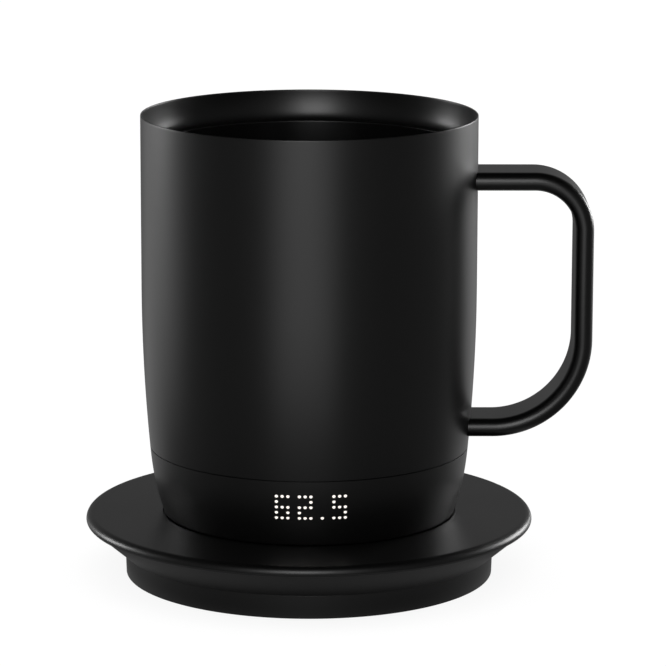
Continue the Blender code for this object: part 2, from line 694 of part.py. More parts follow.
def charging_parts(base):
    """The board in the coaster with its chip, screws and inlet."""
    back = inlet_mouth - CHARGE_BOARD_SETBACK
    board = block("charging_board",
                  (-CHARGE_BOARD_HALF_WIDTH, -CHARGE_BOARD_FRONT, charge_board_bottom),
                  (CHARGE_BOARD_HALF_WIDTH, back, charge_board_top), BOARD)
    for index, side in enumerate((-1, 1)):
        start = (side * CHARGE_SCREW_SPREAD, CHARGE_SCREW_PLACE,
                 charge_board_top + CLEARANCE + CHARGE_HEAD_HEIGHT)
        upside_down = (math.pi, 0.0, 0.0)
        screw_piece(f"charging_board_screw_{index + 1}", CHARGE_SCREW, start, upside_down)
        hole = screw_hole(f"charging_board_screw_hole_{index}", CHARGE_SCREW, start, upside_down)
        cut(board, rod(f"charging_board_hole_{index}", start[:2], charge_board_bottom - OVERRUN,
                       charge_board_top + OVERRUN, CHARGE_SHANK_RADIUS + CLEARANCE, BOARD))
        cut(base, hole)
    chip_bottom = charge_board_top + CLEARANCE
    half = CHARGE_CHIP_SIDE / 2
    block("charging_chip", (-half, CHARGE_CHIP_PLACE - half, chip_bottom),
          (half, CHARGE_CHIP_PLACE + half, chip_bottom + CHARGE_CHIP_HEIGHT), CHIP)
    shell = flat_bar("charging_inlet", INLET_WIDTH / 2, inlet_bottom, inlet_top, INLET_CORNER,
                     inlet_back, inlet_mouth, STEEL)
    cut(shell, flat_bar("inlet_cavity", INLET_WIDTH / 2 - INLET_WALL, inlet_bottom + INLET_WALL,
                        inlet_top - INLET_WALL, INLET_CORNER - INLET_WALL,
                        inlet_back + INLET_WALL, inlet_mouth + OVERRUN, STEEL))
    middle = (inlet_bottom + inlet_top) / 2
    root = inlet_back + INLET_WALL + CLEARANCE
    block("inlet_tongue", (-TONGUE_WIDTH / 2, root, middle - TONGUE_THICKNESS / 2),
          (TONGUE_WIDTH / 2, root + TONGUE_LENGTH, middle + TONGUE_THICKNESS / 2), CHIP)


def helix(name, middle, bottom, top, radius, wire, turns, material):
    """A coil spring as one tube around an upright axis."""
    count = turns * POINTS_PER_TURN + 1
    curve = bpy.data.curves.new(name, "CURVE")
    curve.dimensions = "3D"
    curve.bevel_depth = wire
    curve.bevel_resolution = 0
    curve.use_fill_caps = True
    spline = curve.splines.new("POLY")
    spline.points.add(count - 1)
    for index, height in enumerate(spread(bottom + wire, top - wire, count)):
        angle = math.tau * index / POINTS_PER_TURN
        spline.points[index].co = (radius * math.cos(angle), radius * math.sin(angle), height, 1)
    spring = bpy.data.objects.new(name, curve)
    spring.location = (*middle, 0.0)
    curve.materials.append(material)
    PIECES.objects.link(spring)
    return spring


def contact_pin(name, place_y):
    """A spring contact: barrel on the board, coil spring and sliding pin."""
    bottom = charge_board_top + CLEARANCE
    top = seat_floor - CLEARANCE
    bore = PIN_COLLAR_RADIUS + CLEARANCE
    neck = PIN_RADIUS + CLEARANCE
    bore_floor = bottom + BARREL_FLOOR
    profile = [(0.0, bore_floor), (bore, bore_floor), (bore, top - BARREL_LIP),
               (neck, top - BARREL_LIP), (neck, top), (barrel_radius, top),
               (barrel_radius, bottom + BARREL_FLANGE_HEIGHT),
               (BARREL_FLANGE_RADIUS, bottom + BARREL_FLANGE_HEIGHT),
               (BARREL_FLANGE_RADIUS, bottom), (0.0, bottom)]
    barrel = turned(f"{name}_barrel", profile, NICKEL, SMALL_STEPS)
    tip = band_bottom - CLEARANCE
    collar_top = top - BARREL_LIP - CLEARANCE
    collar_bottom = collar_top - PIN_COLLAR_HEIGHT
    profile = [(0.0, tip), (PIN_RADIUS - PIN_TIP_ROUND, tip), (PIN_RADIUS, tip - PIN_TIP_ROUND),
               (PIN_RADIUS, collar_top), (PIN_COLLAR_RADIUS, collar_top),
               (PIN_COLLAR_RADIUS, collar_bottom), (0.0, collar_bottom)]
    pin = turned(f"{name}_pin", profile, GOLD, SMALL_STEPS)
    for piece in (barrel, pin):
        piece.location = (0.0, place_y, 0.0)
    helix(f"{name}_pin_spring", (0.0, place_y), bore_floor + CLEARANCE,
          collar_bottom - CLEARANCE, SPRING_COIL_RADIUS, SPRING_WIRE_RADIUS, SPRING_TURNS, STEEL)


def outer_shell():
    """The mug's outer wall, from the rim down to the seam above the band."""
    edge = SHELL_WALL / 2
    rim = arc((BODY_RADIUS - edge, rim_height - edge), edge, 2 * RIGHT_ANGLE, 0.0, RIM_ROWS)
    outer = [(body_radius(height), height)
             for height in spread(straight_height, shell_bottom, CURVE_ROWS)]
    inner = [(body_radius(height) - SHELL_WALL, height)
             for height in spread(shell_bottom, straight_height, CURVE_ROWS)]
    return turned("outer_shell", rim + outer + inner, BLACK_COAT, closed=True)


def liner():
    """The inner cup, with the cove and shoulder under its mouth."""
    corner = (liner_radius - LINER_CORNER, liner_floor + LINER_CORNER)
    mouth_top = rim_height - MOUTH_DROP
    cove_top = mouth_top - MOUTH_STRAIGHT
    shoulder = liner_radius + SHOULDER_ROUND
    cove_width = mouth_radius - shoulder
    floor_arc = arc(corner, LINER_CORNER, -RIGHT_ANGLE, 0.0, CORNER_ROWS)
    edge_arc = arc((shoulder, cove_top - MOUTH_COVE_HEIGHT - SHOULDER_ROUND), SHOULDER_ROUND,
                   2 * RIGHT_ANGLE, RIGHT_ANGLE, EDGE_ROWS)
    cove = [(shoulder + cove_width * across, cove_top - MOUTH_COVE_HEIGHT * down)
            for across, down in arc((0.0, 0.0), 1, RIGHT_ANGLE, 0.0, COVE_ROWS)[1:]]
    lip = [(mouth_radius + LINER_WALL * (1 - RIM_TAPER_SHARE), mouth_top),
           (mouth_radius + LINER_WALL, mouth_top)]
    back_width = cove_width + LINER_WALL
    back_height = MOUTH_COVE_HEIGHT + LINER_WALL
    wall_outer = liner_radius + LINER_WALL
    last = math.degrees(math.acos((wall_outer - shoulder) / back_width))
    back = [(shoulder + back_width * across, cove_top - back_height * down)
            for across, down in arc((0.0, 0.0), 1, 0.0, last, COVE_ROWS)]
    under = arc(corner, LINER_CORNER + LINER_WALL, 0.0, -RIGHT_ANGLE, CORNER_ROWS)
    profile = [(0.0, liner_floor)] + floor_arc + edge_arc + cove + lip + back + under
    return turned("liner", profile + [(0.0, liner_bottom)], INNER_COAT)


def strap_path():
    """The D of the handle in the XZ plane, from the upper root to the lower one."""
    upper = (strap_centre - HANDLE_UPPER_BEND, upper_bar_height - HANDLE_UPPER_BEND)
    lower = (strap_centre - HANDLE_LOWER_BEND, lower_bar_height + HANDLE_LOWER_BEND)
    points = [(body_radius(upper_bar_height) - STRAP_ROOT, upper_bar_height)]
    points += arc(upper, HANDLE_UPPER_BEND, RIGHT_ANGLE, 0.0, UPPER_BEND_STEPS)
    points += arc(lower, HANDLE_LOWER_BEND, 0.0, -RIGHT_ANGLE, LOWER_BEND_STEPS)
    points.append((body_radius(lower_bar_height) - STRAP_ROOT, lower_bar_height))
    return points


def poly_curve(name, points, cyclic, dimensions):
    """A curve of straight stretches through points."""
    curve = bpy.data.curves.new(name, "CURVE")
    curve.dimensions = dimensions
    spline = curve.splines.new("POLY")
    spline.points.add(len(points) - 1)
    for spot, point in zip(spline.points, points):
        spot.co = (*point, 1)
    spline.use_cyclic_u = cyclic
    return curve


def curve_to_mesh(curve_object, name, material):
    """A closed mesh piece from a bevelled curve, which is then removed."""
    graph = bpy.context.evaluated_depsgraph_get()
    mesh = bpy.data.meshes.new_from_object(curve_object.evaluated_get(graph))
    shape = bmesh.new()
    shape.from_mesh(mesh)
    bmesh.ops.remove_doubles(shape, verts=shape.verts, dist=MERGE)
    bmesh.ops.recalc_face_normals(shape, faces=shape.faces)
    shape.to_mesh(mesh)
    shape.free()
    mesh.materials.clear()
    mesh.name = name
    world = curve_object.matrix_world.copy()
    bpy.data.objects.remove(curve_object)
    piece = place(mesh, name, material)
    piece.matrix_world = world
    return piece


def handle():
    """The strap handle, its ends hollowed to sit on the shell."""
    flat = (STRAP_WIDTH - STRAP_THICKNESS) / 2
    edge = STRAP_THICKNESS / 2
    section = arc((0.0, flat), edge, 0.0, 2 * RIGHT_ANGLE, STRAP_EDGE_STEPS)
    section += arc((0.0, -flat), edge, 2 * RIGHT_ANGLE, 4 * RIGHT_ANGLE, STRAP_EDGE_STEPS)
    outline = bpy.data.objects.new("strap_section", poly_curve(
        "strap_section", [(along, across, 0.0) for across, along in reversed(section)], True,
        "2D"))
    CUTTERS.objects.link(outline)
    outline.hide_render = True
    outline.display_type = "WIRE"
    path = poly_curve("strap_path", [(reach, 0.0, height) for reach, height in strap_path()],
                      False, "3D")
    path.bevel_mode = "OBJECT"
    path.bevel_object = outline
    path.use_fill_caps = True
    path.twist_mode = "MINIMUM"
    strap = bpy.data.objects.new("strap_path", path)
    PIECES.objects.link(strap)
    bpy.context.view_layer.update()
    piece = curve_to_mesh(strap, "handle", BLACK_COAT)
    return cut(piece, body_plug("handle_seat", -CLEARANCE, lower_bar_height - STRAP_THICKNESS,
                                upper_bar_height + STRAP_THICKNESS))


def handle_fixings(strap, shell):
    """Saddles inside the shell and the screws that pull the handle onto it."""
    lay_along_x = (0.0, RIGHT_TURN, 0.0)
    for name, height in (("upper", upper_bar_height), ("lower", lower_bar_height)):
        bottom, top = height - SADDLE_HALF_HEIGHT, height + SADDLE_HALF_HEIGHT
        outside = SHELL_WALL + CLEARANCE
        saddle = block(f"handle_saddle_{name}", (0.0, -SADDLE_HALF_WIDTH, bottom),
                       (BODY_RADIUS, SADDLE_HALF_WIDTH, top), STEEL)
        keep(saddle, body_plug(f"saddle_{name}_outside", outside, bottom - OVERRUN,
                               top + OVERRUN))
        cut(saddle, body_plug(f"saddle_{name}_inside", outside + SADDLE_THICKNESS,
                              bottom - OVERRUN, top + OVERRUN))
        inner = body_radius(height - SADDLE_HALF_HEIGHT) - outside - SADDLE_THICKNESS
        far_side = HANDLE_SCREW_SPREAD + HANDLE_HEAD_RADIUS
        seat = math.sqrt(inner * inner - far_side * far_side) - CLEARANCE
        for index, side in enumerate((-1, 1)):
            start = (seat - HANDLE_HEAD_HEIGHT, side * HANDLE_SCREW_SPREAD, height)
            screw_piece(f"handle_screw_{name}_{index + 1}", HANDLE_SCREW, start, lay_along_x)
            hole = rod(f"handle_hole_{name}_{index}", (0.0, 0.0), 0.0,
                       HANDLE_HEAD_HEIGHT + HANDLE_SHANK_LENGTH + CLEARANCE,
                       HANDLE_SHANK_RADIUS + CLEARANCE, STEEL)
            hole.location = start
            hole.rotation_euler = lay_along_x
            for piece in (saddle, shell, strap):
                cut(piece, hole)


def display_pocket_shape(name, half_width, half_height, inset):
    """A block behind the band's skin, its front following the band."""
    low = (-half_width, -BODY_RADIUS, display_height - half_height)
    high = (half_width, -guide_back, display_height + half_height)
    shape = block(name, low, high, LENS)
    return keep(shape, body_plug(f"{name}_front", inset, low[2] - OVERRUN, high[2] + OVERRUN))


def base_housing():
    """The band under the seam: neck, seal groove, screw bosses and display pocket."""
    groove_half = SEAL_WIRE_RADIUS + CLEARANCE
    groove_middle = (seam_height + neck_top) / 2
    neck_inner = neck_radius - NECK_WALL
    band = [(body_radius(height), height)
            for height in spread(seam_height, band_bottom + BAND_EDGE, BAND_ROWS)]
    inner = [(body_radius(height) - HOUSING_WALL, height)
             for height in spread(band_bottom, seam_height - HOUSING_WALL, BAND_INNER_ROWS)]
    profile = [(neck_inner, neck_top), (neck_radius, neck_top),
               (neck_radius, groove_middle + groove_half),
               (seal_groove_radius, groove_middle + groove_half),
               (seal_groove_radius, groove_middle - groove_half),
               (neck_radius, groove_middle - groove_half), (neck_radius, seam_height)]
    profile += band + [(foot_radius - BAND_EDGE, band_bottom)] + inner
    profile.append((neck_inner, seam_height - HOUSING_WALL + NECK_WALL / 2))
    housing = turned("base_housing", profile, BLACK_PLASTIC, closed=True)
    rib_end = body_radius(boss_bottom) - HOUSING_WALL / 2
    for index, angle in enumerate(COVER_SCREW_ANGLES):
        middle = around(cover_screw_circle, angle)
        join(housing, rod(f"housing_boss_{index}", middle, boss_bottom, boss_top, BOSS_RADIUS,
                          BLACK_PLASTIC))
        rib = block(f"housing_rib_{index}",
                    (cover_screw_circle + COVER_SHANK_RADIUS + CLEARANCE, -BOSS_RIB_WIDTH / 2,
                     boss_bottom), (rib_end, BOSS_RIB_WIDTH / 2, boss_top), BLACK_PLASTIC)
        rib.rotation_euler = (0.0, 0.0, math.radians(angle))
        join(housing, rib)
    return housing


def display(housing):
    """Light guide, dot array and board behind the skin, in two rails."""
    cut(housing, display_pocket_shape("display_pocket", DISPLAY_HALF_WIDTH, DISPLAY_HALF_HEIGHT,
                                      DISPLAY_SKIN))
    display_pocket_shape("light_guide", DISPLAY_HALF_WIDTH - CLEARANCE,
                         DISPLAY_HALF_HEIGHT - CLEARANCE, DISPLAY_SKIN + CLEARANCE)
    array_x = DISPLAY_HALF_WIDTH - LED_ARRAY_MARGIN
    array_z = DISPLAY_HALF_HEIGHT - LED_ARRAY_MARGIN
    block("led_array", (-array_x, -guide_back + CLEARANCE, display_height - array_z),
          (array_x, -led_array_back, display_height + array_z), CHIP)
    rail_inner = DISPLAY_HALF_WIDTH + CLEARANCE
    slot_end = rail_inner + RAIL_DEPTH
    board_z = DISPLAY_HALF_HEIGHT + LED_BOARD_MARGIN
    low, high = display_height - board_z, display_height + board_z
    block("led_board", (-slot_end + CLEARANCE, -led_board_front, low),
          (slot_end - CLEARANCE, -led_board_back, high), BOARD)
    for index, side in enumerate((-1, 1)):
        edges = sorted((side * rail_inner, side * (rail_inner + RAIL_WIDTH)))
        rail = block(f"display_rail_{index}", (edges[0], -BODY_RADIUS, low),
                     (edges[1], -led_board_back + CLEARANCE + RAIL_LIP, high), BLACK_PLASTIC)
        keep(rail, body_plug(f"display_rail_end_{index}", HOUSING_WALL / 2, low - OVERRUN,
                             high + OVERRUN))
        join(housing, rail)
    cut(housing, block("led_board_slot", (-slot_end, -led_board_front - CLEARANCE, low - OVERRUN),
                       (slot_end, -led_board_back + CLEARANCE, high + OVERRUN), BOARD))
    flex_y = -led_board_back + CLEARANCE
    flex = block("display_flex", (-FLEX_HALF_WIDTH, flex_y, on_control_board),
                 (FLEX_HALF_WIDTH, flex_y + FLEX_THICKNESS, display_height), FILM)
    join(flex, block("display_flex_run", (-FLEX_HALF_WIDTH, flex_y, on_control_board),
                     (FLEX_HALF_WIDTH, flex_y + FLEX_RUN, on_control_board + FLEX_THICKNESS),
                     FILM))


def seal_ring():
    """The soft ring in the neck's groove, between band and shell."""
    middle = (seam_height + neck_top) / 2
    centre = seal_groove_radius + CLEARANCE + SEAL_WIRE_RADIUS
    profile = arc((centre, middle), SEAL_WIRE_RADIUS, 0.0, -4 * RIGHT_ANGLE, SEAL_SIDES + 1)
    turned("seal_ring", profile[:-1], RUBBER, closed=True)


def bottom_cover():
    """The cover under the mug, with grooves for the foot ring and the contacts."""
    pocket = band_bottom + CONTACT_THICKNESS + CLEARANCE
    groove = band_bottom + FOOT_RING_SUNK + CLEARANCE
    stem = CONTACT_STEM_RADIUS + CLEARANCE
    profile = [(stem, cover_top), (cover_radius, cover_top), (cover_radius, band_bottom)]
    for outer, inner, depth in ((foot_ring_outer, foot_ring_inner, groove),
                                (contact_ring_outer, contact_ring_inner, pocket)):
        profile += [(outer + CLEARANCE, band_bottom), (outer + CLEARANCE, depth),
                    (inner - CLEARANCE, depth), (inner - CLEARANCE, band_bottom)]
    profile += [(CONTACT_CENTRE_RADIUS + CLEARANCE, band_bottom),
                (CONTACT_CENTRE_RADIUS + CLEARANCE, pocket), (stem, pocket)]
    cover = turned("bottom_cover", profile, BLACK_PLASTIC, RING_STEPS, closed=True)
    cut(cover, rod("ring_stem_hole", (0.0, CONTACT_RING_RADIUS), band_bottom - OVERRUN,
                   cover_top + OVERRUN, stem, BLACK_PLASTIC))
    cut(cover, rod("button_hole", (0.0, BUTTON_PLACE), band_bottom - OVERRUN,
                   cover_top + OVERRUN, BUTTON_RADIUS + CLEARANCE, BLACK_PLASTIC))
    return cover


def charge_contacts():
    """The centre disc and the ring under the mug, each with a stem to the board."""
    top = band_bottom + CONTACT_THICKNESS
    stem_top = control_board_bottom - CLEARANCE
    profile = [(0.0, stem_top), (CONTACT_STEM_RADIUS, stem_top), (CONTACT_STEM_RADIUS, top),
               (CONTACT_CENTRE_RADIUS, top), (CONTACT_CENTRE_RADIUS, band_bottom),
               (0.0, band_bottom)]
    turned("contact_centre", profile, GOLD, SMALL_STEPS)
    outer_contact = ring("contact_ring", contact_ring_inner, contact_ring_outer, band_bottom,
                         top, GOLD)
    join(outer_contact, rod("contact_ring_stem", (0.0, CONTACT_RING_RADIUS),
                            band_bottom + CONTACT_THICKNESS / 2, stem_top, CONTACT_STEM_RADIUS,
                            GOLD))


def power_button():
    """The button under the mug and the switch that it presses."""
    switch_bottom = control_board_bottom - CLEARANCE - SWITCH_HEIGHT
    plunger_bottom = switch_bottom - PLUNGER_HEIGHT
    flange_bottom = cover_top + CLEARANCE
    flange_top = flange_bottom + BUTTON_FLANGE_HEIGHT
    flange = BUTTON_RADIUS + BUTTON_FLANGE
    nub_top = plunger_bottom - CLEARANCE
    face = band_bottom + BUTTON_SUNK
    profile = [(0.0, nub_top), (BUTTON_NUB_RADIUS, nub_top), (BUTTON_NUB_RADIUS, flange_top),
               (flange, flange_top), (flange, flange_bottom), (BUTTON_RADIUS, flange_bottom),
               (BUTTON_RADIUS, face), (0.0, face)]
    button = turned("power_button", profile, BLACK_PLASTIC, SMALL_STEPS)
    button.location = (0.0, BUTTON_PLACE, 0.0)
    half = SWITCH_SIDE / 2
    switch = block("power_switch", (-half, BUTTON_PLACE - half, switch_bottom),
                   (half, BUTTON_PLACE + half, switch_bottom + SWITCH_HEIGHT), CHIP)
    join(switch, rod("switch_plunger", (0.0, BUTTON_PLACE), plunger_bottom,
                     switch_bottom + SWITCH_HEIGHT / 2, PLUNGER_RADIUS, CHIP))


def control_board():
    """The round board over the bosses, with its two chips."""
    board = disc("control_board", control_board_radius, control_board_bottom, control_board_top,
                 BOARD)
    for name, side, width in (("main_chip", 1, MAIN_CHIP_SIDE), ("power_chip", -1,
                                                                 POWER_CHIP_SIDE)):
        middle = (side * CHIP_SPREAD, -chip_place)
        block(name, (middle[0] - width / 2, middle[1] - width / 2, on_control_board),
              (middle[0] + width / 2, middle[1] + width / 2, on_control_board + CHIP_HEIGHT),
              CHIP)
    return board


def battery_tray():
    """The tray for the two cells, with ears for the screws and posts for the clamp."""
    wall_top = tray_floor_top + TRAY_WALL_HEIGHT
    tray = block("battery_tray", (-tray_outer_x, -tray_outer_y, on_control_board),
                 (tray_outer_x, tray_outer_y, wall_top), FRAME_PLASTIC)
    cut(tray, block("tray_hollow", (-tray_inner_x, -tray_inner_y, tray_floor_top),
                    (tray_inner_x, tray_inner_y, wall_top + OVERRUN), FRAME_PLASTIC))
    for index, side in enumerate((-1, 1)):
        edges = sorted((side * (tray_inner_y + TRAY_WALL / 2), side * ear_place))
        join(tray, block(f"tray_apron_{index}", (-ear_place, edges[0], on_control_board),
                         (ear_place, edges[1], tray_floor_top), FRAME_PLASTIC))
    for index, angle in enumerate(COVER_SCREW_ANGLES):
        join(tray, rod(f"tray_ear_{index}", around(cover_screw_circle, angle), on_control_board,
                       tray_floor_top + TRAY_EAR_HEIGHT, BOSS_RADIUS, FRAME_PLASTIC))
    posts = [(side_x * POST_PLACE, side_y * post_y) for side_x in (-1, 1) for side_y in (-1, 1)]
    for index, middle in enumerate(posts):
        join(tray, rod(f"tray_post_{index}", middle, on_control_board, insulation_top,
                       POST_RADIUS, FRAME_PLASTIC))
    return tray


def cells():
    """Two round cells side by side, the links on their ends and the strap over them."""
    shoulder = cell_end - CELL_EDGE
    profile = [(0.0, cell_end), (cell_radius - CELL_EDGE, cell_end), (cell_radius, shoulder),
               (cell_radius, -shoulder), (cell_radius - CELL_EDGE, -cell_end), (0.0, -cell_end)]
    for name, side in (("battery_cell_front", -1), ("battery_cell_back", 1)):
        cell = turned(name, profile, SLEEVE, CELL_STEPS)
        cell.location = (0.0, side * cell_place, cell_height)
        cell.rotation_euler = (0.0, RIGHT_TURN, 0.0)
    for name, side in (("cell_link_left", -1), ("cell_link_right", 1)):
        edges = sorted((side * link_inner, side * link_outer))
        link_width = cell_place + LINK_OVERLAP
        block(name, (edges[0], -link_width, cell_height - LINK_HALF_HEIGHT),
              (edges[1], link_width, cell_height + LINK_HALF_HEIGHT), NICKEL)
    inside = strap_side - BAND_STRAP_THICKNESS
    leg_end = cell_height - BAND_STRAP_BELOW
    bow = [(-strap_side, leg_end), (-inside, leg_end), (-inside, band_strap_bottom),
           (inside, band_strap_bottom), (inside, leg_end), (strap_side, leg_end),
           (strap_side, band_strap_top), (-strap_side, band_strap_top)]
    slab("battery_strap", bow, BAND_STRAP_HALF_WIDTH, STEEL)


def cover_screws(cover, housing, board, tray):
    """Screws from under the mug through cover, bosses and board into the tray."""
    for index, angle in enumerate(COVER_SCREW_ANGLES):
        start = (*around(cover_screw_circle, angle), band_bottom + COVER_HEAD_DEPTH)
        screw_piece(f"cover_screw_{index + 1}", COVER_SCREW, start)
        hole = screw_hole(f"cover_screw_hole_{index}", COVER_SCREW, start)
        for piece in (cover, housing, board, tray):
            cut(piece, hole)


def heating_stack():
    """Insulation, clamp plate, heater film, sensor and leads under the inner cup."""
    insulation_radius = math.hypot(POST_PLACE, post_y) - POST_RADIUS - PAD_INSULATION_MARGIN
    disc("insulation_pad", insulation_radius, insulation_bottom, insulation_top, WHITE_FOAM)
    bore = SENSOR_RADIUS + CLEARANCE
    ring("heat_clamp", bore, clamp_radius, clamp_bottom, clamp_top, ALUMINIUM)
    film = ring("heater_film", bore, heater_radius, heater_bottom, heater_top, FILM)
    tab_end = clamp_radius + HEATER_TAB_REACH
    join(film, block("heater_tab", (-HEATER_TAB_HALF_WIDTH, heater_radius / 2, heater_bottom),
                     (HEATER_TAB_HALF_WIDTH, tab_end, heater_top), FILM))
    rod("temperature_sensor", (0.0, 0.0), clamp_bottom, heater_top, SENSOR_RADIUS, CHIP)
    lead_y = clamp_radius + HEATER_TAB_REACH / 2
    for name, side, material in (("heater_lead_left", -1, WIRE_RED), ("heater_lead_right", 1,
                                                                      CHIP)):
        heights = spread(heater_bottom - CLEARANCE, on_control_board, LEAD_POINTS)
        points = [(side * LEAD_SPREAD, lead_y + LEAD_BOW * math.sin(math.pi * step / (
            LEAD_POINTS - 1)), height) for step, height in enumerate(heights)]
        lead = poly_curve(name, points, False, "3D")
        lead.bevel_depth = LEAD_RADIUS
        lead.bevel_resolution = 1
        lead.use_fill_caps = True
        lead.materials.append(material)
        PIECES.objects.link(bpy.data.objects.new(name, lead))


def foot_ring():
    """The soft ring that the mug stands on."""
    ring("mug_foot_ring", foot_ring_inner, foot_ring_outer, foot_bottom,
         band_bottom + FOOT_RING_SUNK, RUBBER)


def build_coaster():
    """Every piece of the charging coaster."""
    coaster_foot_pad()
    base = coaster_base()
    top = coaster_top()
    coaster_screws(base, top)
    charging_parts(base)
    contact_pin("centre", 0.0)
    contact_pin("ring", CONTACT_RING_RADIUS)


def build_mug():
    """Every piece of the mug."""
    shell = outer_shell()
    liner()
    strap = handle()
    handle_fixings(strap, shell)
    housing = base_housing()
    display(housing)
    seal_ring()
    cover = bottom_cover()
    charge_contacts()
    power_button()
    board = control_board()
    tray = battery_tray()
    cells()
    cover_screws(cover, housing, board, tray)
    heating_stack()
    foot_ring()


build_coaster()
build_mug()
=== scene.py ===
"""Self heating mug on its charging coaster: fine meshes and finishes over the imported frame."""

import json
import math

import bmesh
import bpy
from bpy.props import FloatProperty, FloatVectorProperty, PointerProperty
from mathutils import Matrix, Vector


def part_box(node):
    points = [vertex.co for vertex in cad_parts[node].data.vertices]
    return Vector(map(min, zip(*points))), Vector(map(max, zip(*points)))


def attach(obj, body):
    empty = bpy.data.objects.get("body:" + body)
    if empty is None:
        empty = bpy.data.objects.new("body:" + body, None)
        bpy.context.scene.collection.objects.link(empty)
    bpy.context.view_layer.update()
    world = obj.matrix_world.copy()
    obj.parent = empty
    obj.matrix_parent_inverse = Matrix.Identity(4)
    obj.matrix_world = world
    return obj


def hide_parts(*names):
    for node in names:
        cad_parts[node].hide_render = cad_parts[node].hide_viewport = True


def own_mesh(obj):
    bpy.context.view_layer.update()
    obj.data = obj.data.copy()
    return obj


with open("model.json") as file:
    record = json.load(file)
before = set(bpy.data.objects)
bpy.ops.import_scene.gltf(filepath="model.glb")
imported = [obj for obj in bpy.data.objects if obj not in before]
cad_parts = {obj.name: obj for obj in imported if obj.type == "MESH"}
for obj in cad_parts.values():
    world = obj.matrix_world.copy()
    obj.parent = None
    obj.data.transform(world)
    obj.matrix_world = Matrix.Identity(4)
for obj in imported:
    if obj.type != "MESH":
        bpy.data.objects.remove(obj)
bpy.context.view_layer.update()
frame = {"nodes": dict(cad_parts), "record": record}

bl_info = {
    "name": "Self heating mug",
    "version": (1, 0, 0),
    "blender": (4, 5, 0),
    "location": "View3D > Sidebar > Mug",
    "description": "Builds a self heating mug, its charging coaster and a small studio",
    "category": "Object",
}

MM = 0.001

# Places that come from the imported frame
SHELL_LOW, SHELL_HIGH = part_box("outer_shell")
BAND_LOW, BAND_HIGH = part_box("base_housing")
LINER_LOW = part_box("liner")[0]
HANDLE_LOW, HANDLE_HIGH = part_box("handle")
COVER_LOW, COVER_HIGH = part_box("bottom_cover")
FOOT_LOW, FOOT_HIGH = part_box("mug_foot_ring")
RING_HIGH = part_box("contact_ring")[1]
DISC_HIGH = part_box("contact_centre")[1]
BUTTON_LOW, BUTTON_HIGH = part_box("power_button")
SAUCER_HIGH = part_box("coaster_top")[1]
DRUM_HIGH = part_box("coaster_base")[1]
PAD_LOW, PAD_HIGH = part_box("coaster_foot_pad")
INLET_LOW, INLET_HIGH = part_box("charging_inlet")

# How finely round things are divided
TURN_STEPS = 176
STAGE_STEPS = 96
RING_STEPS = 96
SMALL_STEPS = 48
PIN_STEPS = 32
DOT_STEPS = 20
SOCKET_SIDES = 6
EDGE_STEPS = 5
RIM_STEPS = 5
CUP_CORNER_STEPS = 18
CUP_OUTSIDE_STEPS = 14
SHOULDER_STEPS = 8
COVE_STEPS = 30
LIP_STEPS = 12
LIP_UNDER_STEPS = 7
TIP_STEPS = 7
DOT_RISE_STEPS = 5
DOME_STEPS = 24
WALL_ROWS = 26
BEND_STEPS = 72
STRAP_EDGE_STEPS = 10
STRAP_SECTION_STEP = 0.35 * MM
SPRING_TURN_STEPS = 24
SPRING_WIRE_STEPS = 8
CREASE = math.radians(32.0)

# Small spaces and edges, and how far a cutter reaches past what it cuts
HAIR = 0.01 * MM
SLIT = 0.05 * MM
CLEARANCE = 0.15 * MM
FINE_EDGE = 0.1 * MM
SMALL_EDGE = 0.15 * MM
OVERRUN = 1.0 * MM

# Shares of a piece's own sizes, the power that the band's tuck follows, and the pad's grooves
STRAP_EDGE_SHARE = 0.4995
FOOT_START_SHARE = 1.6
SOCKET_DEPTH_SHARE = 0.6
BEND_EASE_SHARE = 1.08
BEND_REACH_SHARE = 0.45
TUCK_POWER = 2.5
PAD_GROOVES = 4

# The studio, in metres, and the camera fitted to the photograph
FLOOR_RADIUS = 6.0
FLOOR_DEPTH = 0.02
CARD_RADIUS = 2.2
CARD_WALL = 0.04
TABLE_CARD_START = 0.045
TABLE_CARD_LOW = 0.0001
TABLE_CARD_HIGH = 0.0002
LAMP_DISTANCE = 1.25
SKY_SPREAD = math.radians(80.0)
SENSOR_WIDTH = 36.0
CAMERA_LENS = 205.244
CAMERA_PLACE = (0.0, -0.9553893, 0.2656685)
CAMERA_DOWN = 0.2094068
CAMERA_ASIDE = -0.0064024
CAMERA_ROLL = 0.0023963

# Lit dots of the display, one row of text for each row of dots
DOT_ROWS = (
    "###.###...###",
    "#.....#...#..",
    "###.###...###",
    "#.#.#.......#",
    "###.###.#.###",
)


def length(name, text, default):
    """A length that a user can change."""
    return FloatProperty(name=name, description=text, default=default, unit="LENGTH", precision=5)


def colour(name, text, default):
    """A colour that a user can change."""
    return FloatVectorProperty(name=name, description=text, default=default, subtype="COLOR",
                               min=0.0, max=1.0)


def level(name, text, default):
    """A level that a user can change."""
    return FloatProperty(name=name, description=text, default=default, min=0.0)


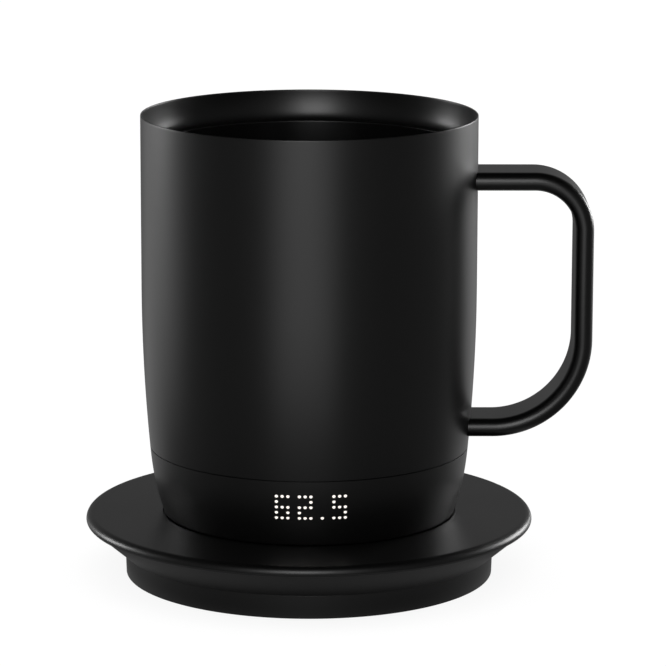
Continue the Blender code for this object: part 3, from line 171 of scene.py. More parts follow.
class MugSizes(bpy.types.PropertyGroup):
    """Sizes of the mug's body and inner cup."""

    rim_radius: length("Rim radius", "Outer radius at the rim", SHELL_HIGH.x)
    rim_height: length("Rim height", "Height of the rim above the table", SHELL_HIGH.z)
    rim_edge: length("Rim edge", "Thickness of the rim", 0.4 * MM)
    seam_height: length("Seam height", "Bottom edge of the shell", SHELL_LOW.z)
    seam_step: length("Seam step", "Space between shell and band in the frame", 0.3 * MM)
    seam_gap: length("Seam gap", "Open line that shows between shell and band", 0.2 * MM)
    seam_edge: length("Seam edge", "Rounding of the edges along the seam", 0.03 * MM)
    seam_fall: length("Seam fall", "How much the band's top falls inwards", 0.5 * MM)
    foot_height: length("Foot height", "Bottom edge of the band", BAND_LOW.z)
    straight: length("Straight wall", "How far the wall runs straight down", 44.5 * MM)
    curve: length("Wall curve", "Radius of the wall's curve below", 450 * MM)
    tuck: length("Band tuck", "How much the band draws in at its foot", 1.7 * MM)
    foot_edge: length("Foot edge", "Rounding at the band's foot", 0.6 * MM)
    wall: length("Shell wall", "Thickness of the outer shell", 0.8 * MM)
    band_wall: length("Band wall", "Thickness of the band", 2.0 * MM)
    cover_gap: length("Cover gap", "Space between the cover and the band above it", 0.3 * MM)
    cup_wall: length("Cup wall", "Thickness of the inner cup", 0.8 * MM)
    cup_radius: length("Cup radius", "Inner radius of the cup", 38.5 * MM)
    cup_corner: length("Cup corner", "Rounding between wall and floor", 14 * MM)
    cove: length("Cove", "Height of the hollow curve under the rim", 7.5 * MM)
    cove_reach: length("Cove reach", "How far the hollow curve comes in", 2.1 * MM)
    shoulder: length("Shoulder", "Rounding where the ledge meets the wall", 0.15 * MM)


class HandleSizes(bpy.types.PropertyGroup):
    """Sizes of the strap handle."""

    width: length("Strap width", "Width of the strap", HANDLE_HIGH.y - HANDLE_LOW.y)
    thickness: length("Strap thickness", "Thickness of the strap", 4.7 * MM)
    upper_bend: length("Upper bend", "Radius of the upper bend", 12.75 * MM)
    lower_bend: length("Lower bend", "Radius of the lower bend", 23.0 * MM)
    root: length("Root", "How far the ends reach into the wall", 0.4 * MM)


class UndersideSizes(bpy.types.PropertyGroup):
    """Sizes of the mug's underside."""

    clearance: length("Clearance", "Space round the pieces that are let in", 0.15 * MM)
    edge: length("Edge", "Rounding of small edges", 0.15 * MM)
    foot_width: length("Foot ring width", "Width of the soft foot ring", 1.9 * MM)
    foot_edge: length("Foot ring edge", "Rounding of the soft foot ring", 0.35 * MM)
    contact_depth: length("Contact depth", "Thickness of the contacts", 0.8 * MM)
    cap_radius: length("Cap radius", "Radius of the button's cap", 3.2 * MM)
    cap_edge: length("Cap edge", "Rounding of the button's cap", 0.4 * MM)
    cap_drop: length("Cap drop", "How far the cap's top lies below the button's", 0.2 * MM)
    groove_radius: length("Groove radius", "Outer radius of the cap's groove", 2.0 * MM)
    groove_width: length("Groove width", "Width of the cap's groove", 0.65 * MM)
    groove_depth: length("Groove depth", "Depth of the cap's groove", 0.25 * MM)
    ring_width: length("Contact ring width", "Width of the contact ring", 2.2 * MM)
    head_radius: length("Screw head radius", "Radius of a cover screw's head", 2.1 * MM)
    head_height: length("Screw head height", "Height of a cover screw's head", 0.9 * MM)
    head_edge: length("Screw head edge", "Rounding of a cover screw's head", 0.3 * MM)
    socket: length("Screw socket", "Width of a screw's socket across its corners", 2.3 * MM)


class CoasterSizes(bpy.types.PropertyGroup):
    """Sizes of the coaster."""

    saucer_radius: length("Saucer radius", "Outer radius of the saucer", SAUCER_HIGH.x)
    lip: length("Lip", "Rounding of the saucer's edge above its widest point", 1.8 * MM)
    lip_under: length("Lip below", "Rounding of the saucer's edge below that", 0.9 * MM)
    neck: length("Neck", "How far in from the edge the slope starts", 1.1 * MM)
    cone_angle: FloatProperty(name="Cone angle", description="Slope of the saucer's underside",
                              default=math.radians(40.5), subtype="ANGLE")
    seat_depth: length("Seat depth", "Depth of the mug's seat", 0.6 * MM)
    seat_margin: length("Seat margin", "Room round the mug's foot", 0.3 * MM)
    seat_edge: length("Seat edge", "Rounding at the seat's foot", 0.2 * MM)
    seat_lip: length("Seat lip", "Rounding at the seat's upper edge", 0.25 * MM)
    plate: length("Plate", "Thickness of the saucer's plate and foot", 2.0 * MM)
    hollow: length("Hollow", "How far in from the lip the hollow below starts", 7.1 * MM)
    drum_radius: length("Drum radius", "Radius of the drum at its top", DRUM_HIGH.x - 0.5 * MM)
    drum_height: length("Drum height", "Height of the drum's top", 6.1 * MM)
    drum_foot: length("Drum foot", "Height of the drum's lower edge", 0.04 * MM)
    draft: length("Draft", "How much the drum narrows to its foot", 0.2 * MM)
    drum_edge: length("Drum edge", "Rounding of the drum's foot", 0.15 * MM)
    drum_wall: length("Drum wall", "Thickness of the drum's wall", 2.0 * MM)
    drum_floor: length("Drum floor", "Thickness of the drum's floor", 1.2 * MM)
    slot_start: length("Slot start", "Where the inlet's slot starts along the inlet", 4.0 * MM)
    pad_edge: length("Pad edge", "Rounding of the foot pad", 0.4 * MM)
    pad_ring: length("Pad ring", "Outer radius of the pad's widest groove", 38.0 * MM)
    pad_pitch: length("Pad pitch", "Distance from groove to groove in the pad", 8.0 * MM)
    pad_groove: length("Pad groove", "Width of a groove in the pad", 1.4 * MM)
    pad_slope: length("Pad slope", "Width of a groove's sloping side", 0.4 * MM)
    pad_depth: length("Pad depth", "Depth of a groove in the pad", 0.3 * MM)
    pin_radius: length("Pin radius", "Radius of a sprung contact pin", 0.8 * MM)
    pin_tip: length("Pin tip", "Height of a pin's rounded tip", 0.6 * MM)
    collar: length("Pin collar", "Height of a pin's collar", 0.6 * MM)
    collar_edge: length("Collar edge", "Slope at the collar's edges", 0.1 * MM)
    barrel_radius: length("Barrel radius", "Radius of a pin's barrel", 2.0 * MM)
    pin_travel: length("Pin travel", "How far a pin can be pressed in", 0.8 * MM)
    spring_wire: length("Spring wire", "Radius of the wire of a pin's spring", 0.13 * MM)
    spring_turns: level("Spring turns", "Turns of a pin's spring", 5.0)


class DisplaySizes(bpy.types.PropertyGroup):
    """Sizes of the dotted display."""

    pitch: length("Dot pitch", "Distance from dot to dot", 1.432 * MM)
    radius: length("Dot radius", "Radius of one dot", 0.42 * MM)
    rise: length("Dot rise", "How far a dot stands out", 0.06 * MM)
    depth: length("Dot depth", "How deep a dot is set into the band", 0.2 * MM)
    height: length("Height", "Height of the middle row", 26.76 * MM)
    offset: length("Offset", "Middle of the digits beside the mug's axis", 0.46 * MM)


class FinishColours(bpy.types.PropertyGroup):
    """Colours of the finishes."""

    coat: colour("Coat", "Black powder coat", (0.0006, 0.0006, 0.0006))
    plastic: colour("Plastic", "Black plastic", (0.0006, 0.0006, 0.0006))
    inside: colour("Inside", "Dark inner coat", (0.0014, 0.0014, 0.0014))
    rubber: colour("Rubber", "Foot ring and pad", (0.011, 0.011, 0.011))
    dots: colour("Dots", "Light of the display", (0.93, 0.87, 0.80))
    floor: colour("Floor", "Pale floor", (0.93, 0.93, 0.93))


class StageLevels(bpy.types.PropertyGroup):
    """Levels of the studio."""

    world: level("Surroundings", "Strength of the pale surroundings", 0.72)
    sky: level("Overhead light", "Strength of the wide soft overhead light", 0.32)
    front: level("Front lamp", "Brightness of the lamp behind the camera", 5.6)
    left: level("Left lamp", "Brightness of the lamp on the left", 10.9)
    right: level("Right lamp", "Brightness of the lamp on the right", 10.8)
    # Level of the two cards that only reflections see, which paint the object's reflections.
    card: level("Cards", "Brightness of the dark cards round the table", 0.135)


class Signal:
    """A socket's value that Python's own operators work on."""

    def __init__(self, sheet, socket):
        """Keep the socket and the sheet that it is on."""
        self.sheet = sheet
        self.socket = socket

    def maths(self, operation, other):
        """The result of a Math node on this value and another."""
        return self.sheet.node("ShaderNodeMath", {"operation": operation}, {0: self, 1: other})

    def __add__(self, other):
        """This value and another added."""
        return self.maths("ADD", other)

    __radd__ = __add__

    def __mul__(self, other):
        """This value times another."""
        return self.maths("MULTIPLY", other)

    __rmul__ = __mul__

    def __sub__(self, other):
        """This value less another."""
        return self.maths("SUBTRACT", other)

    def __rsub__(self, other):
        """Another value less this one."""
        return self * -1.0 + other

    def least(self, other):
        """The smaller of this value and another."""
        return self.maths("MINIMUM", other)

    def most(self, other):
        """The larger of this value and another."""
        return self.maths("MAXIMUM", other)

    def step(self, low, high, start=0.0, end=1.0):
        """A smooth step from start at low to end at high."""
        return self.sheet.node("ShaderNodeMapRange", {"interpolation_type": "SMOOTHSTEP"}, {
            "Value": self, "From Min": low, "From Max": high, "To Min": start, "To Max": end})


class NodeSheet:
    """The node tree of a material or of the world."""

    def __init__(self, owner):
        """Clear the owner's tree."""
        owner.use_nodes = True
        self.owner = owner
        self.tree = owner.node_tree
        self.tree.nodes.clear()

    def node(self, kind, settings=None, inputs=None, output=0):
        """Add a node, set it, feed its sockets and give back one of its outputs."""
        made = self.tree.nodes.new(kind)
        for key, value in (settings or {}).items():
            setattr(made, key, value)
        for key, value in (inputs or {}).items():
            if isinstance(value, Signal):
                self.tree.links.new(value.socket, made.inputs[key])
            else:
                made.inputs[key].default_value = value
        return Signal(self, made.outputs[output]) if made.outputs else made

    def place(self):
        """The object's own coordinates."""
        return self.node("ShaderNodeTexCoord", output="Object")

    def reach(self):
        """Distance from the object's origin."""
        return self.node("ShaderNodeVectorMath", {"operation": "LENGTH"}, {0: self.place()},
                         "Value")

    def toward(self, direction):
        """How far a place lies in a direction from the origin, from -1 to 1."""
        unit = self.node("ShaderNodeVectorMath", {"operation": "NORMALIZE"}, {0: self.place()})
        return self.node("ShaderNodeVectorMath", {"operation": "DOT_PRODUCT"},
                         {0: unit, 1: direction}, "Value")

    def stretched(self, up):
        """The object's own coordinates with another scale upwards."""
        return self.node("ShaderNodeMapping", None, {
            "Vector": self.place(), "Scale": (1.0, 1.0, up)})

    def seen(self):
        """1 for what the camera sees, straight or by reflection or through glass, else 0."""
        names = ("Is Camera Ray", "Is Glossy Ray", "Is Transmission Ray")
        rays = [self.node("ShaderNodeLightPath", output=name) for name in names]
        return (rays[0] + rays[1] + rays[2]).least(1.0)

    def noise(self, vector, scale, detail, roughness=0.5):
        """Smooth noise between 0 and 1."""
        return self.node("ShaderNodeTexNoise", None, {
            "Vector": vector, "Scale": scale, "Detail": detail, "Roughness": roughness})

    def cells(self, vector, scale):
        """Distance to the nearest of many scattered points."""
        return self.node("ShaderNodeTexVoronoi", None, {"Vector": vector, "Scale": scale},
                         "Distance")

    def wave(self, vector, scale, **settings):
        """Bands or rings."""
        return self.node("ShaderNodeTexWave", settings, {"Vector": vector, "Scale": scale}, "Fac")

    def tint(self, amount, first, second):
        """A colour between two others."""
        return self.node("ShaderNodeMix", {"data_type": "RGBA"},
                         {0: amount, 6: first, 7: second}, 2)

    def bump(self, height, distance, strength):
        """A normal that follows a height."""
        return self.node("ShaderNodeBump", None, {
            "Height": height, "Distance": distance, "Strength": strength})

    def glow(self, strength, kind="ShaderNodeEmission"):
        """White light of a strength."""
        return self.node(kind, None, {"Color": (1.0, 1.0, 1.0, 1.0), "Strength": strength})

    def surface(self, **values):
        """A Principled shader on the output, its sockets given by name."""
        names = {key.replace("_", " ").title().replace("Ior", "IOR"): value
                 for key, value in values.items()}
        return self.end(self.node("ShaderNodeBsdfPrincipled", None, names))

    def end(self, shader):
        """Put a shader on the output and give back the tree's owner."""
        kind = "World" if isinstance(self.owner, bpy.types.World) else "Material"
        self.node(f"ShaderNodeOutput{kind}", None, {"Surface": shader})
        return self.owner


class PieceSheet(NodeSheet):
    """A Geometry Nodes tree with named inputs, plain numbers but for the kinds listed here."""

    KINDS = {"Geometry": "NodeSocketGeometry", "Piece": "NodeSocketObject",
             "Finish": "NodeSocketMaterial"}

    def __init__(self, name, *inputs):
        """Make the tree with its inputs and its output."""
        self.tree = bpy.data.node_groups.new(name, "GeometryNodeTree")
        sockets = self.tree.interface
        sockets.new_socket("Geometry", in_out="OUTPUT", socket_type="NodeSocketGeometry")
        for label in ("Geometry", *inputs, "Finish"):
            sockets.new_socket(label, in_out="INPUT",
                               socket_type=self.KINDS.get(label, "NodeSocketFloat"))
        self.start = self.tree.nodes.new("NodeGroupInput")

    def given(self, label):
        """The value of an input."""
        return Signal(self, self.start.outputs[label])

    def end(self, geometry):
        """End the tree in Realize Instances and Set Material, and give it back."""
        real = self.node("GeometryNodeRealizeInstances", None, {"Geometry": geometry})
        coat = self.node("GeometryNodeSetMaterial", None, {
            "Geometry": real, "Material": self.given("Finish")})
        self.node("NodeGroupOutput", None, {0: coat})
        return self.tree


def sheet_for(name):
    """A new material's node sheet."""
    return NodeSheet(bpy.data.materials.new(name))


def paint(value, share=1.0):
    """A colour with its alpha, lightened or darkened by a share."""
    return (*(part * share for part in value), 1.0)


def satin_black(name, base, roughness, grain, glossier=0.0, below=0.0):
    """A black coat: powdery grain, soft sheen, faint clouds and a few rubbed spots.

    It can be glossier below a height.
    """
    sheet = sheet_for(name)
    place = sheet.place()
    powder = sheet.noise(place, 4200.0, 3.0, 0.6)
    cloud = sheet.noise(place, 45.0, 3.0, 0.55)
    speck = sheet.cells(place, 2300.0)
    rubbed = sheet.noise(sheet.stretched(0.35), 160.0, 5.0, 0.7).step(0.66, 0.80)
    tone = sheet.tint(powder.step(0.3, 0.75), paint(base, 0.85), paint(base, 1.35))
    height = sheet.node("ShaderNodeSeparateXYZ", None, {"Vector": place}, "Z")
    low = height.step(below - 0.2 * MM, below + 0.2 * MM, roughness - glossier, roughness)
    rough = cloud * 0.03 + powder * 0.03 + (low - 0.03) - rubbed * 0.025
    return sheet.surface(base_color=tone, roughness=rough,
                         normal=sheet.bump(powder * 0.7 + speck * 0.3, grain, 0.15))


def rubber_finish(name, base):
    """Matt rubber with fine pores and a little dust."""
    sheet = sheet_for(name)
    place = sheet.place()
    pores = sheet.cells(place, 1500.0)
    dust = sheet.noise(place, 120.0, 4.0, 0.6)
    tone = sheet.tint(dust.step(0.4, 0.8), paint(base), paint(base, 1.7))
    return sheet.surface(base_color=tone, roughness=dust * 0.12 + 0.66,
                         normal=sheet.bump(pores, 0.05 * MM, 0.5))


def metal_finish(name, base, roughness, brushed):
    """Metal with fine scratches and slight stains."""
    sheet = sheet_for(name)
    scratch = sheet.noise(sheet.stretched(14.0), 700.0, 4.0, 0.65)
    stain = sheet.noise(sheet.place(), 210.0, 3.0, 0.5)
    tone = sheet.tint(stain.step(0.35, 0.7), paint(base, 0.86), paint(base))
    return sheet.surface(base_color=tone, metallic=1.0,
                         roughness=scratch * (0.1 + brushed) + (roughness - 0.05),
                         normal=sheet.bump(scratch, 0.01 * MM, 0.3 + brushed))


def moulded_finish(name, base, roughness=0.5, scale=900.0, contrast=0.25, depth=0.02):
    """Moulded plastic with a light surface texture."""
    sheet = sheet_for(name)
    place = sheet.place()
    grain = sheet.noise(place, scale, 3.0, 0.55)
    cloud = sheet.noise(place, 90.0, 2.0, 0.5)
    tone = sheet.tint(cloud.step(0.3, 0.75), paint(base, 1 - contrast), paint(base))
    return sheet.surface(base_color=tone, roughness=grain * 0.1 + (roughness - 0.05),
                         normal=sheet.bump(grain, depth * MM, 0.4))


def board_finish(name):
    """Green solder mask over copper tracks, with gilt pads."""
    sheet = sheet_for(name)
    place = sheet.place()
    tracks = sheet.wave(place, 90.0, bands_direction="DIAGONAL").step(0.62, 0.7)
    cross = sheet.wave(place, 70.0, bands_direction="X").step(0.8, 0.86)
    pads = sheet.cells(place, 380.0).step(0.24, 0.18)
    mask = sheet.tint(tracks.most(cross), paint((0.012, 0.085, 0.035)),
                      paint((0.024, 0.15, 0.065)))
    tone = sheet.tint(pads, mask, paint((0.62, 0.48, 0.22)))
    return sheet.surface(base_color=tone, roughness=pads * 0.05 + 0.3, metallic=pads * 0.9,
                         normal=sheet.bump(tracks * 0.6 + pads, 0.03 * MM, 0.5))


def film_finish(name, base):
    """Amber film with the heater's ring-shaped tracks."""
    sheet = sheet_for(name)
    rings = sheet.wave(sheet.place(), 130.0, wave_type="RINGS", rings_direction="Z")
    track = rings.step(0.4, 0.55)
    tone = sheet.tint(track, paint(base), paint(base, 0.45))
    return sheet.surface(base_color=tone, roughness=track * 0.1 + 0.28,
                         normal=sheet.bump(track, 0.02 * MM, 0.4))


def lit_finish(name, light):
    """A lit dot: warm and even, with a trace of the lens's grain."""
    sheet = sheet_for(name)
    grain = sheet.noise(sheet.place(), 1500.0, 2.0)
    glow = sheet.tint(grain.step(0.2, 0.8), paint(light, 0.93), paint(light))
    return sheet.surface(base_color=paint((0.3, 0.29, 0.27)), roughness=grain * 0.1 + 0.45,
                         emission_color=glow, emission_strength=0.95)


FINISHES = {}


def finish(name):
    """A finish by its slot's name, or by its own where it differs from the slot's."""
    if not FINISHES:
        tints = bpy.context.scene.mug_colours
        FINISHES.update({
            "black_coat": satin_black("black_powder_coat", tints.coat, 0.345, 0.010 * MM),
            "strap": satin_black("black_strap", tints.coat, 0.345, 0.002 * MM),
            "black_plastic": satin_black("black_band", tints.plastic, 0.38, 0.008 * MM),
            "saucer": satin_black("black_saucer", tints.plastic, 0.38, 0.010 * MM),
            "inner_coat": satin_black("black_inner_coat", tints.inside, 0.35, 0.006 * MM, 0.15,
                                  SHELL_HIGH.z - bpy.context.scene.mug_sizes.cove - 0.5 * MM),
            "rubber": rubber_finish("soft_rubber", tints.rubber),
            "steel": metal_finish("plain_steel", (0.52, 0.52, 0.53), 0.30, 0.10),
            "nickel": metal_finish("nickel_plate", (0.58, 0.55, 0.50), 0.24, 0.0),
            "gold": metal_finish("gold_plate", (0.83, 0.60, 0.24), 0.20, 0.0),
            "aluminium": metal_finish("rolled_aluminium", (0.72, 0.72, 0.73), 0.34, 0.15),
            "board": board_finish("circuit_board"),
            "film": film_finish("amber_film", (0.42, 0.19, 0.04)),
            "sleeve": moulded_finish("cell_sleeve", (0.035, 0.15, 0.32), 0.25, 300.0, 0.12),
            "frame_plastic": moulded_finish("frame_plastic", (0.085, 0.085, 0.09)),
            "chip": moulded_finish("moulded_chip", (0.02, 0.02, 0.022), 0.42, 2500.0),
            "white_foam": moulded_finish("open_foam", (0.70, 0.68, 0.62), 0.82, 2200.0, 0.3, 0.25),
            "lens": moulded_finish("milky_lens", (0.80, 0.79, 0.75), 0.3, 200.0, 0.06),
            "wire_red": moulded_finish("red_insulation", (0.40, 0.025, 0.02), 0.4, 600.0),
            "wire_black": moulded_finish("black_insulation", (0.015, 0.015, 0.016), 0.4, 600.0),
            "dots": lit_finish("lit_dots", tints.dots),
        })
    return FINISHES[name]


def spread(low, high, count):
    """Evenly spaced values from low to high."""
    return [low + (high - low) * step / (count - 1) for step in range(count)]


def arc(middle, across, up, start, end, count):
    """Points of an arc of an ellipse in the profile plane, its angles in degrees."""
    return [(middle[0] + across * math.cos(math.radians(angle)),
             middle[1] + up * math.sin(math.radians(angle)))
            for angle in spread(start, end, count)]


def rounded(corners, closed=True):
    """Profile points, the corners given with a third value rounded by that radius."""
    points = []
    last_index = len(corners) - 1
    for index, (across, up, *bend) in enumerate(corners):
        here = Vector((across, up))
        if not bend or (not closed and index in (0, last_index)):
            points.append(here)
            continue
        before = Vector(corners[index - 1][:2]) - here
        after = Vector(corners[(index + 1) % len(corners)][:2]) - here
        half = before.angle(after) / 2
        reach = min(bend[0] / math.tan(half), BEND_REACH_SHARE * before.length,
                    BEND_REACH_SHARE * after.length)
        before.normalize()
        after.normalize()
        radius = reach * math.tan(half)
        middle = here + (before + after).normalized() * (radius / math.sin(half))
        first = here + before * reach - middle
        swing = -first.angle_signed(here + after * reach - middle)
        points.append(here + before * reach * BEND_EASE_SHARE)
        for step in range(EDGE_STEPS + 1):
            points.append(middle + Matrix.Rotation(swing * step / EDGE_STEPS, 2) @ first)
        points.append(here + after * reach * BEND_EASE_SHARE)
    return points


def middle_of(low, high):
    """Middle of a box as seen from above."""
    return (low.x + high.x) / 2, (low.y + high.y) / 2


def smooth(mesh):
    """Shade a mesh smooth but for its sharp edges."""
    mesh.shade_smooth()
    mesh.set_sharp_from_angle(angle=CREASE)


def show(name, mesh):
    """A piece in the scene with a mesh."""
    mesh.name = name
    smooth(mesh)
    piece = bpy.data.objects.new(name, mesh)
    bpy.context.scene.collection.objects.link(piece)
    return piece


def show_shape(name, shape):
    """A piece in the scene with the mesh of a finished shape."""
    mesh = bpy.data.meshes.new(name)
    shape.to_mesh(mesh)
    shape.free()
    return show(name, mesh)


def lathe(name, points, closed=True, steps=TURN_STEPS, middle=(0.0, 0.0)):
    """A solid turned round an upright axis from points of radius and height."""
    shape = bmesh.new()
    rows = []
    for radius, height in points:
        count = steps if radius > MM * MM else 1
        rows.append([shape.verts.new((middle[0] + radius * math.cos(math.tau * step / steps),
                                      middle[1] + radius * math.sin(math.tau * step / steps),
                                      height)) for step in range(count)])
    for one, two in zip(rows, rows[1:] + rows[:1] if closed else rows[1:]):
        for step in range(steps):
            after = (step + 1) % steps
            ring = list(dict.fromkeys((one[step % len(one)], one[after % len(one)],
                                       two[after % len(two)], two[step % len(two)])))
            if len(ring) > 2:
                shape.faces.new(ring)
    bmesh.ops.recalc_face_normals(shape, faces=shape.faces)
    return show_shape(name, shape)


def turned(name, corners, closed=False, steps=TURN_STEPS, middle=(0.0, 0.0)):
    """A solid turned from corners, some of them rounded."""
    return lathe(name, rounded(corners, closed), closed, steps, middle)


def washer(name, inner, outer, low, high, edge, steps=SMALL_STEPS):
    """A flat ring, or a disc where the inner radius is 0, its lower edges rounded."""
    corners = [(inner, high), (outer, high), (outer, low, edge), (inner, low, edge)]
    return turned(name, corners, inner > 0.0, steps)


def cylinder(name, radius, low, high, steps=SMALL_STEPS, middle=(0.0, 0.0)):
    """A plain cylinder between two heights."""
    return lathe(name, [(0.0, low), (radius, low), (radius, high), (0.0, high)], False, steps,
                 middle)


def carved(piece, *cutters):
    """A piece with every cutter's shape cut out, the cutters removed."""
    for cutter in cutters:
        modifier = piece.modifiers.new("cut", "BOOLEAN")
        modifier.operation = "DIFFERENCE"
        modifier.solver = "EXACT"
        modifier.object = cutter
        graph = bpy.context.evaluated_depsgraph_get()
        mesh = bpy.data.meshes.new_from_object(piece.evaluated_get(graph))
        piece.modifiers.remove(modifier)
        piece.data = mesh
        bpy.data.objects.remove(cutter)
    smooth(piece.data)
    return piece


def box_cutter(name, low, high):
    """A plain block that only cuts."""
    shape = bmesh.new()
    bmesh.ops.create_cube(shape, size=1.0)
    for corner in shape.verts:
        corner.co = Vector([low[axis] + (corner.co[axis] + 0.5) * (high[axis] - low[axis])
                            for axis in range(3)])
    return show_shape(name, shape)


def dress(piece, body, slot, *stands_for, look=None):
    """Give a piece its body and the finish of its slot, or of its look where one is given, and
    hide the nodes that it stands for.
    """
    piece.data.materials.clear()
    piece.data.materials.append(finish(look or slot))
    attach(piece, body)
    if stands_for:
        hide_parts(*stands_for)
    return piece


def wall_radius(sizes, height):
    """Outer radius of the mug at a height: straight, then curved, then tucked in."""
    drop = max(0.0, sizes.rim_height - sizes.straight - height)
    radius = sizes.rim_radius - drop * drop / (2 * sizes.curve)
    seam = sizes.seam_height - sizes.seam_step
    below = max(0.0, seam - height) / (seam - sizes.foot_height)
    return radius - sizes.tuck * min(1.0, below) ** TUCK_POWER


def run_tree(tree, base, values):
    """The plain mesh that a tree makes of a base mesh."""
    host = bpy.data.objects.new(tree.name, base)
    bpy.context.scene.collection.objects.link(host)
    modifier = host.modifiers.new(tree.name, "NODES")
    modifier.node_group = tree
    for item in tree.interface.items_tree:
        if item.in_out == "INPUT" and item.name in values:
            modifier[item.identifier] = values[item.name]
    graph = bpy.context.evaluated_depsgraph_get()
    mesh = bpy.data.meshes.new_from_object(host.evaluated_get(graph))
    host.modifiers.remove(modifier)
    bpy.data.objects.remove(host)
    return mesh


def strap_tree():
    """A tree that sweeps a flat strap with round edges along a line with two bends."""
    sheet = PieceSheet("strap", "Width", "Thickness", "Upper Bend", "Lower Bend")
    line = sheet.node("GeometryNodeMeshToCurve", None, {"Mesh": sheet.given("Geometry")})
    index = sheet.node("GeometryNodeInputIndex")
    upper = sheet.node("FunctionNodeCompare", {"data_type": "INT", "operation": "EQUAL"},
                       {2: index, 3: 1})
    bend = sheet.node("GeometryNodeSwitch", {"input_type": "FLOAT"}, {
        "Switch": upper, "False": sheet.given("Lower Bend"), "True": sheet.given("Upper Bend")})
    path = sheet.node("GeometryNodeFilletCurve", {"mode": "POLY"}, {
        "Curve": line, "Count": BEND_STEPS, "Radius": bend})
    section = sheet.node("GeometryNodeCurvePrimitiveQuadrilateral", None, {
        "Width": sheet.given("Width"), "Height": sheet.given("Thickness")})
    edge = sheet.node("GeometryNodeFilletCurve", {"mode": "POLY"}, {
        "Curve": section, "Count": STRAP_EDGE_STEPS,
        "Radius": sheet.given("Thickness") * STRAP_EDGE_SHARE})
    even = sheet.node("GeometryNodeResampleCurve", {"mode": "LENGTH"}, {
        "Curve": edge, "Length": STRAP_SECTION_STEP})
    return sheet.end(sheet.node("GeometryNodeCurveToMesh", None, {
        "Curve": path, "Profile Curve": even, "Fill Caps": True}))


def spring_tree():
    """A tree that winds round wire into a coil spring."""
    sheet = PieceSheet("spring", "Coil Radius", "Wire Radius", "Height", "Turns")
    coil = sheet.node("GeometryNodeCurveSpiral", None, {
        "Resolution": SPRING_TURN_STEPS, "Rotations": sheet.given("Turns"),
        "Start Radius": sheet.given("Coil Radius"), "End Radius": sheet.given("Coil Radius"),
        "Height": sheet.given("Height")})
    wire = sheet.node("GeometryNodeCurvePrimitiveCircle", {"mode": "RADIUS"}, {
        "Resolution": SPRING_WIRE_STEPS, "Radius": sheet.given("Wire Radius")})
    return sheet.end(sheet.node("GeometryNodeCurveToMesh", None, {
        "Curve": coil, "Profile Curve": wire, "Fill Caps": True}))


def spring(name, low, high, sizes):
    """A coil spring that fills a box."""
    wire = sizes.spring_wire
    mesh = run_tree(spring_tree(), bpy.data.meshes.new(name), {
        "Coil Radius": (high.x - low.x) / 2 - wire, "Wire Radius": wire,
        "Height": high.z - low.z - 2 * wire, "Turns": sizes.spring_turns,
        "Finish": finish("steel")})
    mesh.transform(Matrix.Translation((*middle_of(low, high), low.z + wire)))
    return show(name, mesh)


def repeat_tree():
    """A tree that sets one piece on every point, turned along the point's aim."""
    sheet = PieceSheet("repeat", "Piece")
    piece = sheet.node("GeometryNodeObjectInfo", None, {"Object": sheet.given("Piece")},
                       "Geometry")
    aim = sheet.node("GeometryNodeInputNamedAttribute", {"data_type": "FLOAT_VECTOR"},
                     {"Name": "aim"})
    turn = sheet.node("FunctionNodeAlignRotationToVector", {"axis": "Z"}, {"Vector": aim})
    return sheet.end(sheet.node("GeometryNodeInstanceOnPoints", None, {
        "Points": sheet.given("Geometry"), "Instance": piece, "Rotation": turn}))


def repeated(name, piece, places, aims, material):
    """One mesh with a copy of a piece at each place, the piece itself removed."""
    base = bpy.data.meshes.new(name)
    base.from_pydata(places, [], [])
    attribute = base.attributes.new("aim", "FLOAT_VECTOR", "POINT")
    for item, aim in zip(attribute.data, aims):
        item.vector = aim
    mesh = run_tree(repeat_tree(), base, {"Piece": piece, "Finish": finish(material)})
    bpy.data.objects.remove(piece)
    return show(name, mesh)


def screw_head(sizes):
    """A round screw head that faces down at the origin, with a six-sided socket."""
    head = washer("head", 0.0, sizes.head_radius, 0.0, sizes.head_height, sizes.head_edge)
    reach = sizes.head_height * SOCKET_DEPTH_SHARE
    return carved(head, cylinder("socket", sizes.socket / 2, -reach, reach, SOCKET_SIDES))


class MUG_OT_shell(bpy.types.Operator):
    """Build the outer shell with its thin rim."""

    bl_idname = "mug.shell"
    bl_label = "Outer shell"

    def execute(self, context):
        """Turn the shell's wall."""
        sizes = context.scene.mug_sizes
        bottom = sizes.seam_height - sizes.seam_step + sizes.seam_gap
        crown = sizes.rim_height - sizes.rim_edge / 2
        hidden = sizes.rim_height - sizes.cove - sizes.wall
        middle = sizes.rim_radius - sizes.rim_edge / 2
        wall = spread(bottom, crown - sizes.rim_edge / 2, WALL_ROWS)
        points = [(wall_radius(sizes, height), height) for height in wall[1:]]
        points += arc((middle, crown), sizes.rim_edge / 2, sizes.rim_edge / 2, 0, 90,
                      RIM_STEPS)
        points += [(middle, hidden), (sizes.rim_radius - sizes.wall, hidden - sizes.wall)]
        points += [(wall_radius(sizes, height) - sizes.wall, height)
                   for height in reversed(wall[1:]) if height < hidden - 2 * sizes.wall]
        edge = sizes.seam_edge
        outside = wall_radius(sizes, bottom)
        points += [(outside - sizes.wall, bottom), (outside - edge, bottom),
                   (outside, bottom + edge)]
        dress(lathe("mug_shell", points), "mug", "black_coat", "outer_shell")
        return {"FINISHED"}


